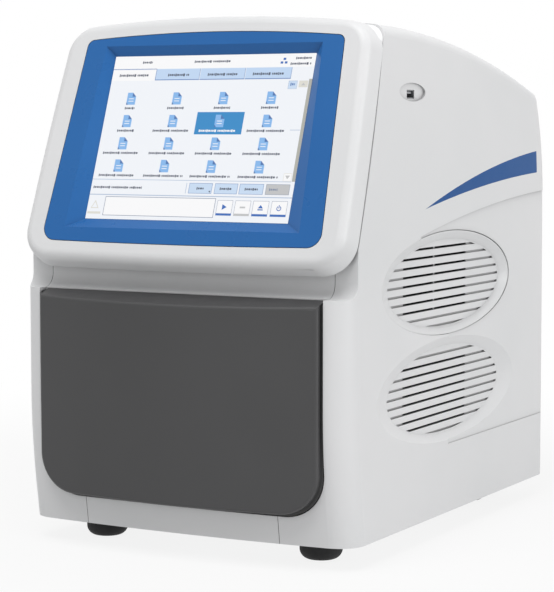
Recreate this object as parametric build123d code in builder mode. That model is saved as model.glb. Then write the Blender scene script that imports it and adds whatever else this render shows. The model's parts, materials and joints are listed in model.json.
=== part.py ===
from build123d import *
from math import cos, radians, sin, sqrt
import os

# A bench instrument that heats and reads a 96-well plate, with a motor drawer and a tilted touch
# screen. Millimetres. The origin is on the bench below the middle of the machine, +X is the right
# side, -Y the front and +Z up.

# Housing
BODY_W = 340.0
FOOT_H = 21.0
REAR_Y = 240.0
CHIN_Y = -220.4
WALL = 3.0
SEAM = 0.5
CORNER_R = 25.0
EDGE_R = 12.0
FRONT_BOW = 8.4
BELLY = ((0.0, 0.0), (29.0, 4.4), (59.0, 8.2), (94.0, 10.9), (129.0, 11.6))
FORM_TOP = 520.0
ROOF_Y, ROOF_Z, ROOF_R, ROOF_CROWN_R = -145.5, 484.1, 1293.0, 1600.0
TAPER_Z, TAPER_R = 280.0, 1885.0
REAR_BEND_Z, REAR_BEND_R = 335.0, 320.0
SCOOP_Z, SCOOP_WALL_Y, SCOOP_R = 238.2, -203.5, 13.0
SCOOP_LIP_Y = -215.0
CHIN_HALF = BODY_W / 2 - 69.6
TOP_HALF, TOP_SPLIT_Z = BODY_W / 2 - 52.0, 332.0
REAR_HALF = BODY_W / 2 - 24.0
BOSS = 14.0
BOSS_H = 18.0
BOSS_YS = (-150.0, 0.0, 150.0)
SHEET = 2.0

# Screen and its bezel, drawn in the tilted plane of the glass
SCREEN_Y, SCREEN_Z, SCREEN_TILT = -186.6, 377.5, 20.0
SCREEN_W, SCREEN_H = 211.2, 158.4
RIM_BACK = 17.0
BEZEL_FRONT = 5.0
BEZEL_DRAFT = 5.0
BEZEL_EDGE_R = 9.0
RIM_HALF_TOP, RIM_HALF_BOTTOM = 161.0, 170.0
RIM_UP, RIM_DOWN = 116.8, 121.0
RIM_ARCH, RIM_SIDE_BOW = 6.0, 1.5
RIM_TOP_R, RIM_BOTTOM_R = 30.0, 30.0
SURROUND_HALF_TOP, SURROUND_HALF_BOTTOM = 134.3, 144.4
SURROUND_UP, SURROUND_DOWN = 93.0, 102.0
SURROUND_TOP_R, SURROUND_BOTTOM_R = 7.0, 13.0
SURROUND_ARCH = 6.0
SURROUND_GAP = 0.6
SURROUND_THICK = 7.0
BEVEL_HALF_TOP, BEVEL_HALF_BOTTOM = 113.6, 122.0
BEVEL_UP, BEVEL_DOWN = 87.0, 89.5
PANEL_W, PANEL_H, PANEL_THICK = 236.0, 176.0, 8.0
BOARD_W, BOARD_H, BOARD_THICK = 190.0, 130.0, 1.6
BOARD_GAP = 6.0
BOARD_CHIPS = (
    (-40.0, 10.0, 28.0, 28.0),
    (15.0, 20.0, 20.0, 12.0),
    (50.0, -20.0, 16.0, 16.0),
    (0.0, -48.0, 60.0, 8.0),
)
BOARD_CHIP_H = 5.0

# Drawer front
DOOR_HALF = BODY_W / 2 - 25.5
DOOR_GAP = 2.8
DOOR_BOTTOM, DOOR_TOP = 49.0, 237.3
DOOR_FRONT_Y = -240.0
DOOR_BACK_Y = -216.0
DOOR_BOW = 9.0
DOOR_CORNER_R = 37.0
DOOR_BEVEL = 18.0
DOOR_EDGE_R = 3.0
DOOR_WALL = 3.5

# Side vents: two dished ovals a side, the upper one a separate grille
UPPER_Y, UPPER_Z, UPPER_A, UPPER_B = -7.6, 240.4, 150.0, 48.9
LOWER_Y, LOWER_Z, LOWER_A, LOWER_B = -4.1, 139.9, 161.5, 49.6
DISC_Y, DISC_DROP = -3.6, 1.4
DISC_A, DISC_B = 129.0, 41.2
DISH_DEPTH = 7.0
GRILLE_WALL = 3.0
SLOT_H, SLOT_PITCH, SLOT_RISE = 2.2, 8.15, 2.0
SLOTS_BELOW, SLOTS_ABOVE = 5, 4
SLOT_BLIND = 2.2
SLOT_MARGIN = 1.0
WINDOW_Y0, WINDOW_Y1, WINDOW_H = -93.5, 49.5, 66.0
UPPER_WINDOW_Z, LOWER_WINDOW_Z = 245.0, 136.4
POST_Y, POST_W = -25.5, 2.4
SEAT_LIP, SEAT_DROP = 2.0, 1.0
GRILLE_SHIFT = 3.0
NOTCH_Y, NOTCH_HALF, NOTCH_TOP_Z, NOTCH_DEPTH = 88.0, 8.5, 286.2, 1.5
FILTER_THICK = 5.0

# Swept recess and coloured stripe on each side
SWEEP_SPLIT_Y, SWEEP_STEP, SWEEP_DEPTH = -10.0, 0.9, 3.0
SWEEP_LOW_Z = 86.5
SWEEP_TOP = ((-76.0, 286.0), (82.5, 309.0), (240.0, 320.5))
SWEEP_BACKING = 4.0
STRIPE_TIP = (-64.5, 311.0)
STRIPE_TOP = ((49.5, 338.0), (214.5, 361.0))
STRIPE_LOW = ((60.0, 327.5), (214.5, 339.0))
STRIPE_DEPTH = 1.0

# USB recess high on the right side
USB_Y, USB_Z, USB_X = -83.9, 417.5, BODY_W / 2 - 5.0
USB_RECESS_A, USB_RECESS_B, USB_RECESS_DEPTH = 27.7, 8.5, 2.2
USB_PORT_Z = 415.6
USB_W, USB_H, USB_DEPTH, USB_SHEET = 15.6, 7.4, 14.0, 0.6

# Feet and screws
FOOT_X, FOOT_Y = 114.4, 164.7
FOOT_R, FOOT_ROUND = 19.5, 9.0
SCREW_R, SCREW_HEAD_R, SCREW_HEAD_H = 2.0, 4.0, 2.4
BASE_SLOTS, BASE_SLOT_W, BASE_SLOT_H, BASE_SLOT_PITCH = 9, 90.0, 4.0, 12.0

# Frame inside
FRAME_X = 116.5
FRAME_Y0, FRAME_Y1 = -196.0, 216.0
DECK_Z, DECK_THICK = 200.0, 4.0
DECK_Y0, DECK_Y1 = -155.0, 150.0

# Drawer mechanism
TRAY_HALF = 100.0
TRAY_Z, TRAY_SIDE_H, TRAY_END_Y = 58.0, 28.0, 0.0
TRAY_FRONT_H = 74.0
RAIL_Z = 72.0
RAIL_Y0, RAIL_Y1 = -209.0, 60.0
TRACK_Y0, TRACK_Y1 = -194.0, 75.0
TRACK_H, TRACK_LIP, TRACK_SHEET = 34.0, 4.0, 1.5
RUNNING = 0.3
FIT = 0.05
BLOCK_Y = -95.0
BLOCK_W, BLOCK_D = 124.0, 84.0
BLOCK_Z, BLOCK_H = 116.0, 34.0
WELL_PITCH, WELL_R, WELL_TIP_R, WELL_DEPTH = 9.0, 2.75, 1.2, 16.0
WELL_COLUMNS, WELL_ROWS = 12, 8
PELTIER, PELTIER_GAP, PELTIER_THICK = 39.0, 2.0, 4.0
SINK_W, SINK_D, SINK_BASE = 136.0, 96.0, 8.0
FIN_COUNT, FIN_THICK = 20, 1.6
DECK_PLATE_DROP = 1.5
DECK_PLATE_THICK = 3.0
SCREW_SHAFT_R, SCREW_Z = 4.0, 44.0
DRAWER_SCREW_Y0, DRAWER_SCREW_Y1 = -215.0, 20.0
MOTOR_SIZE, MOTOR_LENGTH = 42.0, 34.0
NUT_LENGTH = 14.0

# Heated lid
LID_TRAVEL = 8.5
LID_CLEAR = 9.5
PLATE_THICK = 6.0
LID_W, LID_D, LID_H = 156.0, 112.0, 24.0
LID_WALL = 5.0
LID_EAR = 9.0
LID_HOLE_R = 2.4
POST_R = 4.0
LID_ARM_W, LID_ARM_H, LID_SCREW_Y = 36.0, 8.0, 14.0
LID_MOTOR_H = 22.0

# Optics above the block
OPTICS_HALF = 104.0
OPTICS_Y0, OPTICS_Y1 = -148.0, 145.0
OPTICS_FRONT_H, OPTICS_H = 58.0, 154.0
OPTICS_WALL = 2.5
LIGHT_W, LIGHT_D = 122.0, 84.0
MIRROR_W, MIRROR_THICK = 120.0, 3.0
LENS_THICK = 3.0
BRACKET_Y, BRACKET_H = 92.0, OPTICS_H - 22.0
WHEEL_R, WHEEL_THICK, FILTER_RING_R, FILTER_R, FILTER_COUNT = 38.0, 3.0, 27.0, 8.0, 6
EMISSION_X, EMISSION_Z = 27.0, 297.0
EXCITATION_X, EXCITATION_Z = -60.0, 255.0
EXCITATION_ANGLE = -60.0
WHEEL_Y = 60.0
WHEEL_MOTOR_R, WHEEL_MOTOR_LENGTH = 9.0, 24.0
CAMERA_SIZE, CAMERA_DEPTH, BARREL_R, BARREL_LENGTH = 32.0, 36.0, 13.0, 24.0
LAMP_SIZE, LAMP_BASE = 38.0, 4.0
LAMP_FINS, LAMP_FIN_PITCH, LAMP_FIN_THICK, LAMP_FIN_H = 8, 5.0, 1.6, 22.0

# Electronics and rear panel
SUPPLY_X0, SUPPLY_W, SUPPLY_D, SUPPLY_H = -98.0, 100.0, 136.0, 46.0
SUPPLY_Y0 = 88.0
CORE_W, CORE_D, CORE_SHIFT = 30.0, 28.0, 2.0
BAR_X, BAR_THICK, BAR_LENGTH = 30.0, 4.0, 80.0
CAPACITOR_R, CAPACITOR_H, CAPACITOR_X, CAPACITOR_Y = 9.0, 28.0, 12.0, -35.0
PCB_X0, PCB_W, PCB_Z = 14.0, 88.0, 34.0
MAIN_CHIPS = (
    (-20.0, 0.0, 30.0, 30.0, 8.0),
    (18.0, 10.0, 16.0, 26.0, 12.0),
    (0.0, -45.0, 60.0, 10.0, 14.0),
)
SOCKETS = ((-24.0, 16.0, 13.5), (4.0, 12.0, 11.0))
SOCKET_D, SOCKET_MOUTH_D, SOCKET_WALL = 16.0, 10.0, 1.2
FAN_SIZE, FAN_DEPTH, FAN_Z = 80.0, 25.0, 150.0
SINK_FAN_SIZE, SINK_FAN_DEPTH = 54.0, 18.0
FAN_BLADES = 7
INLET_X, INLET_Z, INLET_W, INLET_H, INLET_DEPTH = -112.0, 60.0, 27.4, 20.0, 16.0
ROCKER_Z, ROCKER_W, ROCKER_H, ROCKER_DEPTH = 96.0, 13.0, 22.0, 6.0
ROCKER_ANGLE = 12.0

BODY_Z = FOOT_H
INNER_X = BODY_W / 2 - WALL
tilt_sin, tilt_cos = sin(radians(SCREEN_TILT)), cos(radians(SCREEN_TILT))
glass = Plane(origin=(0, SCREEN_Y, SCREEN_Z), x_dir=(1, 0, 0), z_dir=(0, -tilt_cos, tilt_sin))
rim_y = SCREEN_Y + RIM_BACK * tilt_cos
rim_z = SCREEN_Z - RIM_BACK * tilt_sin
base_top = BODY_Z + SHEET
block_top = BLOCK_Z + BLOCK_H
grille_face_x = BODY_W / 2 - RUNNING
seat_x = INNER_X - SEAT_DROP
upper_vent = (UPPER_Y, UPPER_Z, UPPER_A, UPPER_B, UPPER_WINDOW_Z)
grille_oval = (UPPER_Y - GRILLE_SHIFT, UPPER_Z, UPPER_A - GRILLE_SHIFT, UPPER_B, UPPER_WINDOW_Z)
lower_vent = (LOWER_Y, LOWER_Z, LOWER_A, LOWER_B, LOWER_WINDOW_Z)
lid_z = block_top + LID_CLEAR
deck_low = DECK_Z - DECK_THICK
nodes = {}


def keep(name, part):
    """Label a finished piece and write it under the same name."""
    part.label = name
    nodes[name] = part
    export_step(part, f"parts/{name}.step")


def side(x):
    """The plane across the machine at x: its own axes run along +Y and +Z."""
    return Plane.YZ.offset(x)


def facing_front(y):
    """The plane across the machine at y, looking at its front: its own axes run along +X and +Z."""
    return Plane.XZ.offset(-y)


def bar(x0, x1, y0, y1, z0, z1):
    """A plain rectangular stretch of stock between two corners."""
    with BuildPart() as block:
        with Locations(((x0 + x1) / 2, (y0 + y1) / 2, (z0 + z1) / 2)):
            Box(x1 - x0, y1 - y0, z1 - z0)
    return block.part


def plan_section(front, inset, height):
    """One level cut of the housing: bowed front, rounded front corners, square at the rear."""
    half = BODY_W / 2 - inset
    rear = REAR_Y - inset
    bow = FRONT_BOW * (half / (BODY_W / 2)) ** 2
    with BuildSketch(Plane.XY.offset(height)) as section:
        with BuildLine():
            ThreePointArc((-half, front + bow), (0, front), (half, front + bow))
            Polyline((half, front + bow), (half, rear), (-half, rear), (-half, front + bow))
        make_face()
        fillet(section.vertices().group_by(Axis.Y)[0], CORNER_R - inset)
    return section.sketch


def housing_form(inset):
    """The closed form of the housing behind the screen's rim, drawn in by inset on its outer sides."""
    half = BODY_W / 2 - inset
    rear = REAR_Y - inset
    neck = SCOOP_WALL_Y + inset
    floor = SCOOP_Z - inset
    neck_top = rim_z + (neck - rim_y) * tilt_cos / tilt_sin
    rim_top_y = rim_y + (FORM_TOP - rim_z) * tilt_sin / tilt_cos
    outside = DOOR_FRONT_Y - BODY_W / 4
    with BuildPart() as form:
        for height, belly in BELLY:
            add(plan_section(CHIN_Y - belly + inset, inset, BODY_Z + height))
        loft()
        height, belly = BELLY[-1]
        add(plan_section(CHIN_Y - belly + inset, inset, BODY_Z + height))
        extrude(amount=FORM_TOP - BODY_Z - height)

        # Everything in front of the neck and of the screen's rim plane
        with BuildSketch(Plane.YZ) as front_cut:
            with BuildLine():
                Polyline(
                    (outside, floor),
                    (neck, floor),
                    (neck, neck_top),
                    (rim_top_y, FORM_TOP),
                    (outside, FORM_TOP),
                    close=True,
                )
            make_face()
            fillet(front_cut.vertices().sort_by_distance((neck, floor, 0))[0], SCOOP_R + inset)
        extrude(amount=BODY_W, both=True, mode=Mode.SUBTRACT)

        # The rear leans forward above the bend, and the sides draw in above theirs
        rise = FORM_TOP - REAR_BEND_Z
        lean = rise**2 / (2 * REAR_BEND_R)
        with BuildSketch(Plane.YZ):
            with BuildLine():
                ThreePointArc(
                    (rear, REAR_BEND_Z),
                    (rear - lean / 4, REAR_BEND_Z + rise / 2),
                    (rear - lean, FORM_TOP),
                )
                Polyline(
                    (rear - lean, FORM_TOP),
                    (rear + EDGE_R, FORM_TOP),
                    (rear + EDGE_R, REAR_BEND_Z),
                    (rear, REAR_BEND_Z),
                )
            make_face()
        extrude(amount=BODY_W, both=True, mode=Mode.SUBTRACT)
        rise = FORM_TOP - TAPER_Z
        lean = rise**2 / (2 * TAPER_R)
        with BuildSketch(Plane.XZ):
            with BuildLine():
                ThreePointArc(
                    (half, TAPER_Z),
                    (half - lean / 4, TAPER_Z + rise / 2),
                    (half - lean, FORM_TOP),
                )
                Polyline(
                    (half - lean, FORM_TOP),
                    (half + EDGE_R, FORM_TOP),
                    (half + EDGE_R, TAPER_Z),
                    (half, TAPER_Z),
                )
            make_face()
            mirror(about=Plane.YZ)
        extrude(amount=2 * REAR_Y, both=True, mode=Mode.SUBTRACT)

        # The roof is a barrel: curved along the machine and crowned across it
        roof_axis_z = ROOF_Z - ROOF_R
        reach = BODY_W / 2 + WALL
        crown = ROOF_CROWN_R - sqrt(ROOF_CROWN_R**2 - reach**2)
        top = ROOF_R - inset
        with BuildSketch(Plane(origin=(0, ROOF_Y, roof_axis_z), x_dir=(1, 0, 0), z_dir=(0, -1, 0))):
            with BuildLine():
                ThreePointArc((reach, top - crown), (0, top), (-reach, top - crown))
                Polyline((-reach, top - crown), (-reach, 0), (reach, 0), (reach, top - crown))
            make_face()
        revolve(axis=Axis((0, ROOF_Y, roof_axis_z), (1, 0, 0)), mode=Mode.INTERSECT)

        rim_plane = glass.offset(-RIM_BACK)
        rounded = []
        for edge in form.edges():
            middle = edge.center()
            from_roof = abs(sqrt((middle.Y - ROOF_Y) ** 2 + (middle.Z - roof_axis_z) ** 2) - top)
            roof_edge = from_roof < 3 * WALL and middle.Z > REAR_BEND_Z
            roof_edge = roof_edge and abs(rim_plane.to_local_coords(middle).Z) > WALL / 2
            rear_corner = middle.Y > rear - EDGE_R and abs(middle.X) > half - EDGE_R
            if roof_edge or (rear_corner and edge.length > EDGE_R and middle.Z > REAR_BEND_Z):
                rounded.append(edge)
        fillet(rounded, EDGE_R - inset)
    return form.part


def door_opening(gap):
    """The space that the drawer front needs in the housing, with a gap all round."""
    half = DOOR_HALF + gap
    low = DOOR_BOTTOM - gap
    with BuildPart() as opening:
        with BuildSketch(facing_front(SCOOP_WALL_Y + WALL)) as outline:
            with BuildLine():
                Polyline((-half, SCOOP_Z - WALL), (-half, low), (half, low), (half, SCOOP_Z - WALL), close=True)
            make_face()
            fillet(outline.vertices().group_by(Axis.Y)[0], DOOR_CORNER_R + gap)
        extrude(amount=3 * CORNER_R)
        add(bar(-half, half, DOOR_FRONT_Y - WALL, SCOOP_LIP_Y, SCOOP_Z - WALL, SCOOP_Z + SCOOP_R))
    return opening.part


def oval(x, y, z, a, b):
    """An oval drawn on the side plane at x."""
    with BuildSketch(side(x)) as shape:
        with Locations((y, z)):
            Ellipse(a, b)
    return shape.sketch


def oval_cone(vent, front_x, front_grow, back_x, back_grow):
    """The slanted dish between a vent's outer oval and its inner disc."""
    y, z, a, b, window_z = vent
    with BuildPart() as cone:
        add(oval(front_x, y, z, a + front_grow, b + front_grow))
        add(oval(back_x, DISC_Y, z - DISC_DROP, DISC_A + back_grow, DISC_B + back_grow))
        loft()
    return cone.part


def oval_plate(vent, x0, x1, grow):
    """A flat oval disc between two side planes, grown from a vent's outer oval."""
    y, z, a, b, window_z = vent
    with BuildPart() as plate:
        with BuildSketch(side(x0)):
            with Locations((y, z)):
                Ellipse(a + grow, b + grow)
        extrude(amount=x1 - x0)
    return plate.part


def finger_notch():
    """A shallow notch in the cover above the upper grille, to lift the grille out."""
    with BuildPart() as notch:
        with BuildSketch(side(BODY_W / 2 - NOTCH_DEPTH)):
            with BuildLine():
                Polyline(
                    (NOTCH_Y - NOTCH_HALF, UPPER_Z),
                    (NOTCH_Y - NOTCH_HALF, NOTCH_TOP_Z - NOTCH_HALF),
                    (NOTCH_Y, NOTCH_TOP_Z),
                    (NOTCH_Y + NOTCH_HALF, NOTCH_TOP_Z - NOTCH_HALF),
                    (NOTCH_Y + NOTCH_HALF, UPPER_Z),
                    close=True,
                )
            make_face()
        extrude(amount=NOTCH_DEPTH + WALL)
    return notch.part


def vent_slots(vent, with_post):
    """Louvre slots of one vent: shallow across the disc, open where the air window lies behind."""
    y, z, a, b, window_z = vent
    disc_x = BODY_W / 2 - DISH_DEPTH
    disc_y = DISC_Y
    disc_z = z - DISC_DROP
    rows = [disc_z + SLOT_RISE + SLOT_PITCH * k for k in range(-SLOTS_BELOW, SLOTS_ABOVE + 1)]
    with BuildPart() as slots:
        with BuildSketch(side(disc_x + 1)):
            with Locations([(disc_y, row) for row in rows]):
                Rectangle(2 * DISC_A, SLOT_H)
            with Locations((disc_y, disc_z)):
                Ellipse(DISC_A - SLOT_MARGIN, DISC_B - SLOT_MARGIN, mode=Mode.INTERSECT)
        extrude(amount=-1 - SLOT_BLIND)
        with BuildSketch(side(disc_x + 1)):
            with Locations([(disc_y, row) for row in rows]):
                Rectangle(2 * DISC_A, SLOT_H)
            with Locations((disc_y, disc_z)):
                Ellipse(DISC_A - SLOT_MARGIN, DISC_B - SLOT_MARGIN, mode=Mode.INTERSECT)
            with Locations(((WINDOW_Y0 + WINDOW_Y1) / 2, window_z)):
                Rectangle(WINDOW_Y1 - WINDOW_Y0, WINDOW_H, mode=Mode.INTERSECT)
            if with_post:
                with Locations((POST_Y, disc_z)):
                    Rectangle(POST_W, 2 * DISC_B, mode=Mode.SUBTRACT)
        extrude(amount=-1 - DISH_DEPTH)
    return slots.part


def stripe_zone():
    """The crescent of the coloured stripe, run through the side wall."""
    with BuildPart() as zone:
        with BuildSketch(side(INNER_X - EDGE_R)):
            with BuildLine():
                ThreePointArc(STRIPE_TIP, *STRIPE_TOP)
                Line(STRIPE_TOP[1], STRIPE_LOW[1])
                ThreePointArc(STRIPE_LOW[1], STRIPE_LOW[0], STRIPE_TIP)
            make_face()
        extrude(amount=2 * EDGE_R)
    return zone.part


def sweep_form():
    """What the swept recess takes away: a low step, deeper to the rear along its upper edge."""
    edge_x = BODY_W / 2 - SWEEP_STEP
    outside = BODY_W / 2 + WALL
    low, high = SWEEP_LOW_Z - WALL, SWEEP_TOP[-1][1] + WALL
    front_y, rear_y = SWEEP_TOP[0][0], SWEEP_TOP[-1][0]
    with BuildPart() as form:
        for y, depth in ((front_y - WALL, SWEEP_STEP), (rear_y + WALL, SWEEP_DEPTH)):
            with BuildSketch(facing_front(y)):
                with BuildLine():
                    upper_x = BODY_W / 2 - depth
                    Polyline((edge_x, low), (upper_x, high), (outside, high), (outside, low), close=True)
                make_face()
        loft()
        with BuildSketch(side(INNER_X - SWEEP_BACKING)):
            with BuildLine():
                upper = ThreePointArc(*SWEEP_TOP)
                Polyline(
                    upper @ 1,
                    (rear_y + 1, SWEEP_TOP[-1][1]),
                    (rear_y + 1, SWEEP_LOW_Z),
                    (SWEEP_SPLIT_Y, SWEEP_LOW_Z),
                    (SWEEP_SPLIT_Y, UPPER_Z),
                    upper @ 0,
                )
            make_face()
        extrude(amount=4 * SWEEP_BACKING, mode=Mode.INTERSECT)
    return form.part


def side_cover(shell, skin, with_usb):
    """The right-hand cover, from the chin seam round the side to the rear."""
    outer_x = BODY_W / 2
    back_x = outer_x - DISH_DEPTH - GRILLE_WALL
    with BuildPart() as cover:
        add(shell)
        split(bisect_by=Plane.YZ, keep=Keep.TOP)
        # Backing behind the swept recess, the dishes and the screw bosses
        front = SWEEP_TOP[0][0] - WALL
        rear = REAR_Y - 0.7 * EDGE_R
        low, high = SWEEP_LOW_Z - WALL, SWEEP_TOP[-1][1] + WALL
        add(bar(INNER_X - SWEEP_BACKING, INNER_X + WALL / 2, front, rear, low, high))
        add(oval_cone(lower_vent, INNER_X + WALL / 2, WALL / 2, back_x, GRILLE_WALL))
        add(oval_plate(upper_vent, seat_x - GRILLE_WALL, INNER_X + WALL / 2, 1.0))
        for y in BOSS_YS:
            add(bar(INNER_X - BOSS, INNER_X + WALL / 2, y - BOSS / 2, y + BOSS / 2, base_top, base_top + BOSS_H))
        add(sweep_form(), mode=Mode.SUBTRACT)

        # Lower vent is moulded in, the upper one is a hole with a seat for its grille
        add(oval_cone(lower_vent, outer_x + 0.01, 0.0, outer_x - DISH_DEPTH, 0.0), mode=Mode.SUBTRACT)
        add(vent_slots(lower_vent, False), mode=Mode.SUBTRACT)
        add(oval_plate(upper_vent, seat_x, outer_x + WALL, 0.0), mode=Mode.SUBTRACT)
        add(oval_plate(grille_oval, seat_x - 2 * WALL, outer_x, -SEAT_LIP), mode=Mode.SUBTRACT)
        add(finger_notch(), mode=Mode.SUBTRACT)

        add(skin, mode=Mode.SUBTRACT)
        with Locations([(INNER_X - BOSS / 2, y, base_top) for y in BOSS_YS]):
            Cylinder(SCREW_R - 0.2, 2 * BOSS_H - 2 * WALL, mode=Mode.SUBTRACT)
        if with_usb:
            floor_x = USB_X - USB_RECESS_DEPTH
            with BuildSketch(side(floor_x - WALL)):
                with Locations((USB_Y, USB_Z)):
                    Ellipse(USB_RECESS_A + WALL, USB_RECESS_B + WALL)
            extrude(amount=WALL + USB_RECESS_DEPTH / 4)
            with BuildSketch(side(floor_x)):
                with Locations((USB_Y, USB_Z)):
                    Ellipse(USB_RECESS_A, USB_RECESS_B)
            extrude(amount=WALL + USB_RECESS_DEPTH, mode=Mode.SUBTRACT)
            with BuildSketch(side(floor_x)):
                with Locations((USB_Y, USB_PORT_Z)):
                    Rectangle(USB_W + SEAM, USB_H + SEAM)
            extrude(amount=-2 * WALL, mode=Mode.SUBTRACT)
    return cover.part


def make_housing():
    """The moulded covers and panels, all cut from one hollow form at their seams."""
    outer = housing_form(0)
    inner = housing_form(WALL)
    inner_skin = housing_form(STRIPE_DEPTH)
    with BuildPart() as shell:
        add(outer)
        add(inner, mode=Mode.SUBTRACT)
        add(door_opening(DOOR_GAP), mode=Mode.SUBTRACT)

    half = DOOR_HALF + DOOR_GAP
    front_in = SCOOP_WALL_Y + 4 * WALL
    chin_top = DOOR_BOTTOM
    chin_zone = (-CHIN_HALF, CHIN_HALF, DOOR_FRONT_Y, front_in, 0, chin_top)
    neck_zone = (-half, half, SCOOP_LIP_Y, front_in + EDGE_R, SCOOP_Z - WALL - 1, SCREEN_Z - SCREEN_H / 2)
    top_zone = (-TOP_HALF, TOP_HALF, DOOR_FRONT_Y, REAR_Y + 1, TOP_SPLIT_Z, FORM_TOP)
    rear_zone = (-REAR_HALF, REAR_HALF, REAR_Y - EDGE_R, REAR_Y + 1, 0, TOP_SPLIT_Z)

    for name, zone in (("chin_panel", chin_zone), ("neck_panel", neck_zone), ("top_cover", top_zone)):
        with BuildPart() as panel:
            add(shell.part)
            add(bar(*zone), mode=Mode.INTERSECT)
        keep(name, panel.part)

    with BuildPart() as sides:
        add(shell.part)
        for x0, x1, y0, y1, z0, z1 in (chin_zone, neck_zone, top_zone, rear_zone):
            add(bar(x0 - SEAM, x1 + SEAM, y0, y1, z0, z1 + SEAM), mode=Mode.SUBTRACT)
        add(bar(-TOP_HALF, TOP_HALF, DOOR_FRONT_Y, REAR_Y + 1, TOP_SPLIT_Z - SEAM, FORM_TOP), mode=Mode.SUBTRACT)

    with BuildPart() as stripe:
        add(stripe_zone())
        add(outer, mode=Mode.INTERSECT)
        add(inner_skin, mode=Mode.SUBTRACT)
    keep("stripe_right", stripe.part)
    with BuildPart() as stripe_left:
        mirror(stripe.part, about=Plane.YZ)
    keep("stripe_left", stripe_left.part)

    with BuildPart() as right_cover:
        add(side_cover(sides.part, stripe.part, True))
    keep("right_cover", right_cover.part)
    plain_side = side_cover(sides.part, stripe.part, False)
    with BuildPart() as left_cover:
        mirror(plain_side, about=Plane.YZ)
    keep("left_cover", left_cover.part)


def make_vents():
    """The removable upper grilles and the filters that lie behind all four vents."""
    disc_x = BODY_W / 2 - DISH_DEPTH
    with BuildPart() as grille:
        back_x = disc_x - GRILLE_WALL
        add(oval_plate(grille_oval, seat_x, grille_face_x, -SEAM))
        add(oval_cone(grille_oval, seat_x + WALL / 2, -SEAT_LIP - 2 * RUNNING, back_x, GRILLE_WALL - SEAM))
        add(oval_cone(grille_oval, grille_face_x + 0.01, -3 * SEAM, disc_x, 0.0), mode=Mode.SUBTRACT)
        add(vent_slots(grille_oval, True), mode=Mode.SUBTRACT)
    keep("vent_grille_right", grille.part)
    with BuildPart() as grille_left:
        mirror(grille.part, about=Plane.YZ)
    keep("vent_grille_left", grille_left.part)

    filter_x = disc_x - GRILLE_WALL
    with BuildPart() as filters:
        for vent_z in (UPPER_Z, LOWER_Z):
            with BuildSketch(side(filter_x)):
                with Locations(((WINDOW_Y0 + WINDOW_Y1) / 2, vent_z - DISC_DROP)):
                    RectangleRounded(WINDOW_Y1 - WINDOW_Y0 + 2 * WALL, 2 * DISC_B - 2 * WALL, 2 * WALL)
            extrude(amount=-FILTER_THICK)
        mirror(about=Plane.YZ)
    keep("air_filters", filters.part)


def rim_outline(inset, offset):
    """The bezel's outline in the tilted plane: wider at the foot, arched on top."""
    top, bottom = RIM_HALF_TOP - inset, RIM_HALF_BOTTOM - inset
    up, down = RIM_UP - inset, RIM_DOWN - inset * 0.5
    middle = (top + bottom) / 2 + RIM_SIDE_BOW
    with BuildSketch(glass.offset(offset)) as outline:
        with BuildLine():
            ThreePointArc((-top, up - RIM_ARCH), (0, up + RIM_ARCH / 2), (top, up - RIM_ARCH))
            ThreePointArc((top, up - RIM_ARCH), (middle, 0), (bottom, -down))
            ThreePointArc((bottom, -down), (0, -down - RIM_ARCH / 3), (-bottom, -down))
            ThreePointArc((-bottom, -down), (-middle, 0), (-top, up - RIM_ARCH))
        make_face()
        fillet(outline.vertices().group_by(Axis.Y)[-1], RIM_TOP_R - inset / 3)
        fillet(outline.vertices().group_by(Axis.Y)[0], RIM_BOTTOM_R - inset / 3)
    return outline.sketch


def surround_outline(grow, offset):
    """The coloured surround's outline, arched on top like the bezel."""
    top, bottom = SURROUND_HALF_TOP + grow, SURROUND_HALF_BOTTOM + grow
    up, down = SURROUND_UP + grow, SURROUND_DOWN + grow
    with BuildSketch(glass.offset(offset)) as outline:
        with BuildLine():
            ThreePointArc((-top, up), (0, up + SURROUND_ARCH), (top, up))
            Line((top, up), (bottom, -down))
            ThreePointArc((bottom, -down), (0, -down - 1.5), (-bottom, -down))
            Line((-bottom, -down), (-top, up))
        make_face()
        fillet(outline.vertices().group_by(Axis.Y)[-1], SURROUND_TOP_R + grow)
        fillet(outline.vertices().group_by(Axis.Y)[0], SURROUND_BOTTOM_R + grow)
    return outline.sketch


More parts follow.
